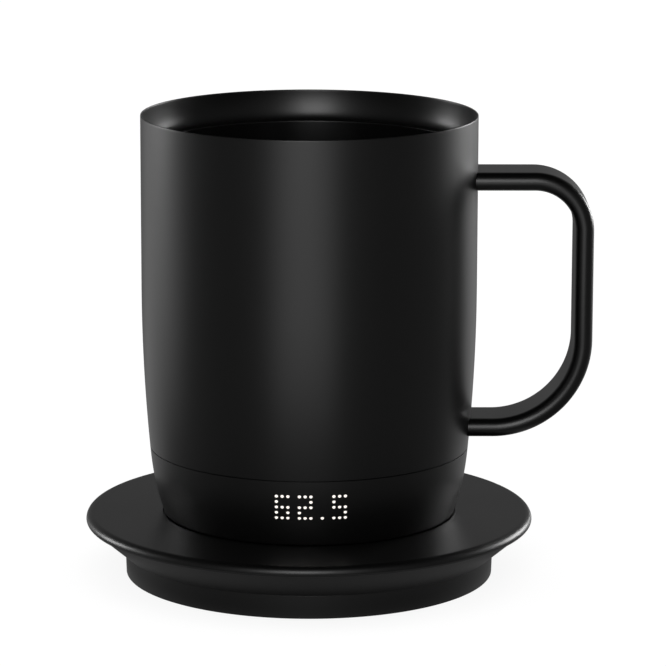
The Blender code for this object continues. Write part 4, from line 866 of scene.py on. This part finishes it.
class MUG_OT_liner(bpy.types.Operator):
    """Build the inner cup with the hollow curve and the ledge under its mouth."""

    bl_idname = "mug.liner"
    bl_label = "Inner cup"

    def execute(self, context):
        """Turn the cup's wall."""
        sizes = context.scene.mug_sizes
        floor = LINER_LOW.z + sizes.cup_wall
        corner = (sizes.cup_radius - sizes.cup_corner, floor + sizes.cup_corner)
        rim = sizes.rim_edge / 2
        crown = sizes.rim_height - rim
        mouth = sizes.rim_radius - sizes.rim_edge
        points = [(0.0, floor)]
        points += arc(corner, sizes.cup_corner, sizes.cup_corner, -90, 0, CUP_CORNER_STEPS)
        points += arc((sizes.cup_radius + sizes.shoulder, crown - sizes.cove - sizes.shoulder),
                      sizes.shoulder, sizes.shoulder, 180, 90, SHOULDER_STEPS)
        points += arc((mouth - sizes.cove_reach, crown), sizes.cove_reach, sizes.cove,
                      -90, 0, COVE_STEPS)
        points += arc((mouth + rim, crown), rim, rim, 180, 92, RIM_STEPS)[1:]
        outer = sizes.cup_radius + sizes.cup_wall
        points += [(mouth + rim - HAIR, crown - sizes.cove - sizes.rim_edge),
                   (outer, crown - sizes.cove - 2 * sizes.cup_wall)]
        reach = sizes.cup_corner + sizes.cup_wall
        points += arc(corner, reach, reach, 0, -90, CUP_OUTSIDE_STEPS)
        points.append((0.0, LINER_LOW.z))
        dress(lathe("mug_inner_cup", points, False), "mug", "inner_coat", "liner")
        return {"FINISHED"}


class MUG_OT_handle(bpy.types.Operator):
    """Sweep the strap handle."""

    bl_idname = "mug.handle"
    bl_label = "Strap handle"

    def execute(self, context):
        """Sweep the strap along its bent line."""
        mug, sizes = context.scene.mug_sizes, context.scene.mug_handle
        half = sizes.thickness / 2
        reach = HANDLE_HIGH.x - half
        ends = []
        for height in (HANDLE_HIGH.z - half, HANDLE_LOW.z + half):
            root = math.sqrt(wall_radius(mug, height) ** 2 - (sizes.width / 2) ** 2) - sizes.root
            ends.append((root, height))
        (upper_root, upper), (lower_root, lower) = ends
        base = bpy.data.meshes.new("strap_line")
        base.from_pydata([(upper_root, 0.0, upper), (reach, 0.0, upper), (reach, 0.0, lower),
                          (lower_root, 0.0, lower)], [(0, 1), (1, 2), (2, 3)], [])
        mesh = run_tree(strap_tree(), base, {
            "Width": sizes.width, "Thickness": sizes.thickness, "Upper Bend": sizes.upper_bend,
            "Lower Bend": sizes.lower_bend, "Finish": finish("strap")})
        dress(show("mug_handle", mesh), "mug", "black_coat", "handle", look="strap")
        return {"FINISHED"}


class MUG_OT_band(bpy.types.Operator):
    """Build the band under the seam, with its hidden neck."""

    bl_idname = "mug.band"
    bl_label = "Band"

    def execute(self, context):
        """Turn the band."""
        sizes = context.scene.mug_sizes
        seam = sizes.seam_height - sizes.seam_step
        neck = wall_radius(sizes, seam) - sizes.wall - sizes.seam_step
        wall = sizes.band_wall
        mouth = wall_radius(sizes, sizes.foot_height) - wall
        outer = [(wall_radius(sizes, height), height)
                 for height in spread(
                     seam, sizes.foot_height + sizes.foot_edge * FOOT_START_SHARE, WALL_ROWS)]
        edge = sizes.seam_edge
        profile = [(neck - wall, BAND_HIGH.z), (neck, BAND_HIGH.z), (neck, seam - sizes.seam_fall),
                   (outer[0][0] - edge, seam), (outer[0][0], seam - edge), *outer[1:]]
        profile += [(wall_radius(sizes, sizes.foot_height), sizes.foot_height, sizes.foot_edge),
                    (mouth, sizes.foot_height, FINE_EDGE),
                    (mouth, COVER_HIGH.z + sizes.cover_gap),
                    (neck - wall, seam - wall)]
        dress(turned("mug_band", profile, True), "mug", "black_plastic", "base_housing")
        return {"FINISHED"}


class MUG_OT_display(bpy.types.Operator):
    """Set the lit dots of the temperature into the band."""

    bl_idname = "mug.display"
    bl_label = "Dotted display"

    def execute(self, context):
        """Place a small lens on every lit dot."""
        mug, sizes = context.scene.mug_sizes, context.scene.mug_display
        places, aims = [], []
        for row, pattern in enumerate(DOT_ROWS):
            height = sizes.height + (len(DOT_ROWS) // 2 - row) * sizes.pitch
            for column, mark in enumerate(pattern):
                if mark != "#":
                    continue
                across = sizes.offset + (column - len(pattern) // 2) * sizes.pitch
                depth = -math.sqrt(wall_radius(mug, height) ** 2 - across ** 2)
                places.append((across, depth, height))
                aims.append((across, depth, 0.0))
        profile = arc((0.0, 0.0), sizes.radius, sizes.rise, 90, 0, DOT_RISE_STEPS)
        profile += [(sizes.radius, -sizes.depth), (0.0, -sizes.depth)]
        lens = lathe("dot", profile, False, DOT_STEPS)
        dots = repeated("display_dots", lens, places, aims, "dots")
        dress(dots, "mug", "lens", look="dots")
        return {"FINISHED"}


class MUG_OT_underside(bpy.types.Operator):
    """Build the cover under the mug with its foot ring, contacts, button and screws."""

    bl_idname = "mug.underside"
    bl_label = "Underside"

    def execute(self, context):
        """Turn each round piece and set the screws."""
        sizes = context.scene.mug_underside
        low, high, gap, edge = COVER_LOW.z, COVER_HIGH.z, sizes.clearance, sizes.edge
        foot_inner = FOOT_HIGH.x - sizes.foot_width
        ring_inner = RING_HIGH.x - sizes.ring_width
        back = low + sizes.contact_depth
        profile = [(0.0, high), (COVER_HIGH.x, high), (COVER_HIGH.x, low, 2 * edge)]
        for outer, inner, top in ((FOOT_HIGH.x, foot_inner, FOOT_HIGH.z + gap),
                                  (RING_HIGH.x, ring_inner, back + gap)):
            profile += [(outer + gap, low, edge), (outer + gap, top), (inner - gap, top),
                        (inner - gap, low, edge)]
        profile += [(DISC_HIGH.x + gap, low, edge), (DISC_HIGH.x + gap, back + gap),
                    (0.0, back + gap)]
        plate = turned("mug_cover", profile)
        screws = [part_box(f"cover_screw_{number}") for number in range(1, 5)]
        spots = [middle_of(*screw) for screw in screws]
        face = screws[0][0].z
        button = middle_of(BUTTON_LOW, BUTTON_HIGH)
        holes = [(spot, sizes.head_radius + gap, face + sizes.head_height + gap)
                 for spot in spots] + [(button, sizes.cap_radius + 2 * gap, high + gap)]
        cutters = [cylinder("hole", radius, low - OVERRUN, top, middle=spot)
                   for spot, radius, top in holes]
        dress(carved(plate, *cutters), "mug", "black_plastic", "bottom_cover")
        dress(washer("mug_foot", foot_inner, FOOT_HIGH.x, FOOT_LOW.z, FOOT_HIGH.z,
                     sizes.foot_edge, TURN_STEPS), "mug", "rubber", "mug_foot_ring")
        dress(washer("contact_disc", 0.0, DISC_HIGH.x, low, back, edge),
              "mug", "gold", "contact_centre")
        dress(washer("contact_band", ring_inner, RING_HIGH.x, low, back, edge, RING_STEPS),
              "mug", "gold", "contact_ring")
        places, aims = [(*spot, face) for spot in spots], [(0.0, 0.0, 1.0)] * len(spots)
        heads = repeated("cover_screw_heads", screw_head(sizes), places, aims, "steel")
        dress(heads, "mug", "steel")
        top, bottom = BUTTON_HIGH.z - sizes.cap_drop, BUTTON_LOW.z
        outer, inner = sizes.groove_radius, sizes.groove_radius - sizes.groove_width
        groove = bottom + sizes.groove_depth
        profile = [(0.0, top), (sizes.cap_radius, top),
                   (sizes.cap_radius, bottom, sizes.cap_edge), (outer, bottom, edge),
                   (outer - edge, groove), (inner + edge, groove), (inner, bottom, edge),
                   (0.0, bottom)]
        cap = turned("button_cap", profile, False, SMALL_STEPS, button)
        dress(cap, "power_button", "black_plastic")
        return {"FINISHED"}


class MUG_OT_saucer(bpy.types.Operator):
    """Build the saucer of the coaster with the seat for the mug."""

    bl_idname = "mug.saucer"
    bl_label = "Saucer"

    def execute(self, context):
        """Turn the saucer and open the holes for its pins."""
        mug, sizes = context.scene.mug_sizes, context.scene.mug_coaster
        top, bottom = SAUCER_HIGH.z, sizes.drum_height + SLIT
        seat = wall_radius(mug, mug.foot_height) + sizes.seat_margin
        floor = top - sizes.seat_depth
        nose = (sizes.saucer_radius - sizes.lip, top - sizes.lip)
        under = (sizes.saucer_radius - sizes.lip_under, nose[1])
        neck = (sizes.saucer_radius - sizes.neck, nose[1] - sizes.lip_under)
        foot = neck[0] - (neck[1] - bottom) / math.tan(sizes.cone_angle)
        plate = top - sizes.plate
        profile = [(0.0, floor), (seat, floor, sizes.seat_edge), (seat, top, sizes.seat_lip),
                   (nose[0] - sizes.seat_lip, top)]
        profile += arc(nose, sizes.lip, sizes.lip, 90, 0, LIP_STEPS)
        profile += arc(under, sizes.lip_under, sizes.lip_under, -10, -75, LIP_UNDER_STEPS)
        profile += [neck, (foot, bottom, SMALL_EDGE), (foot - sizes.plate, bottom),
                    (nose[0] - sizes.hollow, plate), (0.0, plate)]
        saucer = turned("coaster_saucer", profile)
        cutters = [cylinder("hole", sizes.barrel_radius + CLEARANCE, plate - OVERRUN, top,
                            middle=middle_of(*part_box(name)))
                   for name in ("centre_barrel", "ring_barrel")]
        dress(carved(saucer, *cutters), "coaster", "black_plastic", "coaster_top",
              look="saucer")
        return {"FINISHED"}


class MUG_OT_drum(bpy.types.Operator):
    """Build the drum under the saucer with the opening for its inlet, and the foot pad."""

    bl_idname = "mug.drum"
    bl_label = "Drum"

    def execute(self, context):
        """Turn the drum and its pad."""
        sizes = context.scene.mug_coaster
        top, bottom = sizes.drum_height, sizes.drum_foot
        radius = sizes.drum_radius
        inner = radius - sizes.drum_wall
        floor_low = PAD_HIGH.z + 2 * SLIT
        floor_high = floor_low + sizes.drum_floor
        profile = [(0.0, floor_high), (inner - sizes.draft, floor_high), (inner, top),
                   (radius, top, SMALL_EDGE), (radius - sizes.draft, bottom, sizes.drum_edge),
                   (PAD_HIGH.x + CLEARANCE, bottom, FINE_EDGE),
                   (PAD_HIGH.x + CLEARANCE, floor_low), (0.0, floor_low)]
        drum = turned("coaster_drum", profile)
        slot = box_cutter(
            "slot",
            (INLET_LOW.x - CLEARANCE, INLET_LOW.y + sizes.slot_start, INLET_LOW.z - CLEARANCE),
            (INLET_HIGH.x + CLEARANCE, radius + OVERRUN, INLET_HIGH.z + SLIT))
        dress(carved(drum, slot), "coaster", "black_plastic", "coaster_base", look="saucer")
        pad = [(0.0, PAD_HIGH.z), (PAD_HIGH.x, PAD_HIGH.z),
               (PAD_HIGH.x, PAD_LOW.z, sizes.pad_edge)]
        for number in range(PAD_GROOVES):
            far = sizes.pad_ring - number * sizes.pad_pitch
            near, groove = far - sizes.pad_groove, PAD_LOW.z + sizes.pad_depth
            pad += [(far, PAD_LOW.z, SMALL_EDGE), (far - sizes.pad_slope, groove),
                    (near + sizes.pad_slope, groove), (near, PAD_LOW.z, SMALL_EDGE)]
        pad.append((0.0, PAD_LOW.z))
        dress(turned("coaster_pad", pad), "coaster", "rubber", "coaster_foot_pad")
        return {"FINISHED"}


class MUG_OT_pins(bpy.types.Operator):
    """Build the two sprung contact pins and their springs."""

    bl_idname = "mug.pins"
    bl_label = "Contact pins"

    def execute(self, context):
        """Turn each pin and wind its spring."""
        sizes = context.scene.mug_coaster
        radius = sizes.pin_radius
        for body in ("centre_pin", "ring_pin"):
            low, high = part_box(body)
            middle = middle_of(low, high)
            wide, edge = (high.x - low.x) / 2, sizes.collar_edge
            collar = low.z + sizes.collar
            tip = arc((0.0, high.z - sizes.pin_tip), radius, sizes.pin_tip, 90, 0, TIP_STEPS)
            tip += [(radius, collar + 1.5 * edge), (radius + edge, collar + 0.2 * edge),
                    (wide - edge, collar), (wide, collar - edge), (wide, low.z + edge),
                    (wide - edge, low.z), (0.0, low.z)]
            pin = lathe(f"{body}_turned", tip, False, PIN_STEPS, middle)
            dress(pin, body, "gold", body)
            low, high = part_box(f"{body}_spring")
            coil = spring(f"{body}_coil", low, high, sizes)
            dress(coil, "coaster", "steel", f"{body}_spring")
            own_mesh(coil)
        return {"FINISHED"}


class MUG_OT_finishes(bpy.types.Operator):
    """Give every solid that stays from the frame its finish."""

    bl_idname = "mug.finishes"
    bl_label = "Finishes of the solids"

    def execute(self, context):
        """Put each solid's finish in its material slots."""
        slots = {part["node"]: part["material_slot"] for part in frame["record"]["subparts"]}
        for name, solid in frame["nodes"].items():
            material = finish(slots[name])
            if not solid.material_slots:
                solid.data.materials.append(material)
            for place in solid.material_slots:
                place.material = material
        return {"FINISHED"}


def lamp(name, azimuth, low, size, strength):
    """A soft upright lamp beside the table, from a height upwards, that looks at the middle."""
    light = bpy.data.lights.new(name, "AREA")
    light.shape = "RECTANGLE"
    light.size, light.size_y = size
    light.energy = strength * size[0] * size[1] * math.pi
    piece = bpy.data.objects.new(name, light)
    bpy.context.scene.collection.objects.link(piece)
    aim = Vector((math.sin(math.radians(azimuth)), -math.cos(math.radians(azimuth)), 0.0))
    turn = aim.to_track_quat("Z", "Y").to_matrix().to_4x4()
    middle = aim * LAMP_DISTANCE + Vector((0.0, 0.0, low + size[1] / 2))
    piece.matrix_world = Matrix.Translation(middle) @ turn
    piece.visible_camera = False
    return piece


def glossy_only(piece):
    """A stage object that only reflections see."""
    piece.visible_camera = False
    piece.visible_diffuse = False
    piece.visible_shadow = False
    piece.visible_transmission = False
    piece.visible_volume_scatter = False


def lay_floor(tint):
    """A pale floor that keeps the object's shadow."""
    floor = cylinder("studio_floor", FLOOR_RADIUS, -FLOOR_DEPTH, 0.0, STAGE_STEPS)
    sheet = sheet_for("pale_floor")
    mottle = sheet.noise(sheet.place(), 9.0, 3.0)
    cloth = sheet.node("ShaderNodeBsdfPrincipled", None, {
        "Base Color": sheet.tint(mottle, paint(tint, 0.995), paint(tint)),
        "Roughness": 1.0, "Specular IOR Level": 0.0})
    floor.data.materials.append(sheet.end(sheet.node("ShaderNodeMixShader", None, {
        0: sheet.seen() * 0.86, 1: cloth, 2: sheet.glow(1.02)})))


def lay_painted_reflection_card(strength):
    """A card on the table that only reflections see, its painted reflection set by distance and
    direction: bright and dark rings round the coaster, and glows of lamp light far out behind on
    the left, behind on the right and in front.
    """
    sheet = sheet_for("table_card")
    reach = sheet.reach()
    # Painted reflection near the coaster: rings of brightness by distance from the middle,
    # stronger behind.
    painted_reflection = reach.step(0.046, 0.054, 2.0, 0.95)
    for low, high, change in ((0.060, 0.066, 2.0), (0.067, 0.082, -2.4), (0.085, 0.14, 0.6)):
        painted_reflection = painted_reflection + reach.step(low, high, 0.0, change)
    behind = sheet.toward((0.0, 1.0, 0.0)).step(0.2, 0.5)
    outside = reach.step(0.15, 0.25)
    painted_reflection = painted_reflection + behind * (reach.step(0.066, 0.08, 0.0, 2.0) - outside * 2.0)
    # Painted reflection of lamp light: glows far out behind on the left, behind on the right and
    # in front.
    for across, along, low, high, change in ((-0.870, 0.493, 0.82, 0.95, 3.6),
                                             (0.775, 0.632, 0.86, 0.97, 3.0),
                                             (-0.061, -0.998, 0.92, 0.97, 7.5)):
        ray = sheet.toward((across, along, 0.0)).step(low, high, 0.0, change)
        painted_reflection = painted_reflection + ray * outside
    card = lathe("card_on_table", [
        (TABLE_CARD_START, TABLE_CARD_HIGH), (CARD_RADIUS, TABLE_CARD_HIGH),
        (CARD_RADIUS, TABLE_CARD_LOW), (TABLE_CARD_START, TABLE_CARD_LOW)], True, STAGE_STEPS)
    card.data.materials.append(sheet.end(sheet.glow(painted_reflection * strength)))
    return card


def set_painted_reflection_dome(strength):
    """A dome that only reflections see, painting the reflected surroundings darker overhead and
    paler behind the table.
    """
    sheet = sheet_for("card_round_table")
    # Painted reflection: the dome's light falls off overhead and grows paler behind the table.
    painted_overhead_shade = sheet.toward((0.0, 0.0, 1.0)).step(0.3, 0.8, 1.0, 0.06)
    pale = sheet.toward((0.0, 1.0, 0.0)).step(0.3, 0.9, 1.0, 1.8)
    back = CARD_RADIUS + CARD_WALL
    dome = arc((0.0, 0.0), CARD_RADIUS, CARD_RADIUS, 0, 90, DOME_STEPS)
    dome += arc((0.0, 0.0), back, back, 90, 0, DOME_STEPS)
    card = lathe("card_round_table", dome, False, STAGE_STEPS)
    card.data.materials.append(sheet.end(sheet.glow(painted_overhead_shade * pale * strength)))
    return card


def set_surroundings(scene, strength):
    """A world that looks white and lights with a level of its own."""
    scene.world = bpy.data.worlds.new("surroundings")
    sheet = NodeSheet(scene.world)
    pale, white = (sheet.glow(share, "ShaderNodeBackground") for share in (strength, 1.0))
    sheet.end(sheet.node("ShaderNodeMixShader", None, {0: sheet.seen(), 1: pale, 2: white}))
    scene.world.cycles.sampling_method = "NONE"


def set_lights(scene, levels):
    """A wide overhead light and three lamps."""
    sky = bpy.data.lights.new("overhead", "SUN")
    sky.energy = levels.sky * math.pi
    sky.angle = SKY_SPREAD
    overhead = bpy.data.objects.new("overhead", sky)
    scene.collection.objects.link(overhead)
    overhead.visible_glossy = False
    lamp("front_lamp", -3.8, 0.15, (0.50, 0.78), levels.front)
    lamp("left_lamp", -116.3, 0.04, (0.40, 0.38), levels.left)
    lamp("right_lamp", 129.2, 0.04, (0.64, 0.38), levels.right)


def set_camera(scene):
    """The camera at the photograph's viewing angle."""
    lens = bpy.data.cameras.new("camera")
    lens.sensor_width = SENSOR_WIDTH
    lens.lens = CAMERA_LENS
    lens.dof.use_dof = False
    camera = bpy.data.objects.new("camera", lens)
    scene.collection.objects.link(camera)
    camera.matrix_world = (Matrix.Translation(CAMERA_PLACE)
                           @ Matrix.Rotation(CAMERA_ASIDE, 4, "Z")
                           @ Matrix.Rotation(math.pi / 2 - CAMERA_DOWN, 4, "X")
                           @ Matrix.Rotation(CAMERA_ROLL, 4, "Z"))
    scene.camera = camera


class MUG_OT_stage(bpy.types.Operator):
    """Set up the floor, the soft light, the dark cards that paint the object's reflections, and
    the camera.
    """

    bl_idname = "mug.stage"
    bl_label = "Studio"

    def execute(self, context):
        """Build the studio."""
        scene, levels = context.scene, context.scene.mug_stage
        scene.view_settings.view_transform = "Standard"
        lay_floor(scene.mug_colours.floor)
        # Both cards are seen only in reflections, where they paint the object's reflections.
        for card in (lay_painted_reflection_card(levels.card), set_painted_reflection_dome(levels.card)):
            glossy_only(card)
        set_surroundings(scene, levels.world)
        set_lights(scene, levels)
        set_camera(scene)
        return {"FINISHED"}


STEPS = (MUG_OT_stage, MUG_OT_shell, MUG_OT_liner, MUG_OT_handle, MUG_OT_band, MUG_OT_display,
         MUG_OT_underside, MUG_OT_saucer, MUG_OT_drum, MUG_OT_pins, MUG_OT_finishes)

GROUPS = {
    "mug_sizes": MugSizes, "mug_handle": HandleSizes, "mug_underside": UndersideSizes,
    "mug_coaster": CoasterSizes, "mug_display": DisplaySizes, "mug_colours": FinishColours,
    "mug_stage": StageLevels,
}


class VIEW3D_PT_mug(bpy.types.Panel):
    """The steps that build the mug, and the values that they use."""

    bl_idname = "VIEW3D_PT_mug"
    bl_label = "Self heating mug"
    bl_space_type = "VIEW_3D"
    bl_region_type = "UI"
    bl_category = "Mug"

    def draw(self, context):
        """List the steps, then the values."""
        for step in STEPS:
            self.layout.operator(step.bl_idname)
        for group in GROUPS:
            values = getattr(context.scene, group)
            box = self.layout.box()
            for name in values.bl_rna.properties.keys():
                if name not in ("rna_type", "name"):
                    box.prop(values, name)


def register():
    """Register the groups, steps and panel."""
    for name, group in GROUPS.items():
        bpy.utils.register_class(group)
        setattr(bpy.types.Scene, name, PointerProperty(type=group))
    for kind in (*STEPS, VIEW3D_PT_mug):
        bpy.utils.register_class(kind)


def unregister():
    """Take the panel, steps and groups away again."""
    for kind in reversed((*STEPS, VIEW3D_PT_mug)):
        bpy.utils.unregister_class(kind)
    for name, group in GROUPS.items():
        delattr(bpy.types.Scene, name)
        bpy.utils.unregister_class(group)


def main():
    """Build everything in order."""
    register()
    for step in STEPS:
        family, name = step.bl_idname.split(".")
        getattr(getattr(bpy.ops, family), name)()


if __name__ == "__main__":
    main()
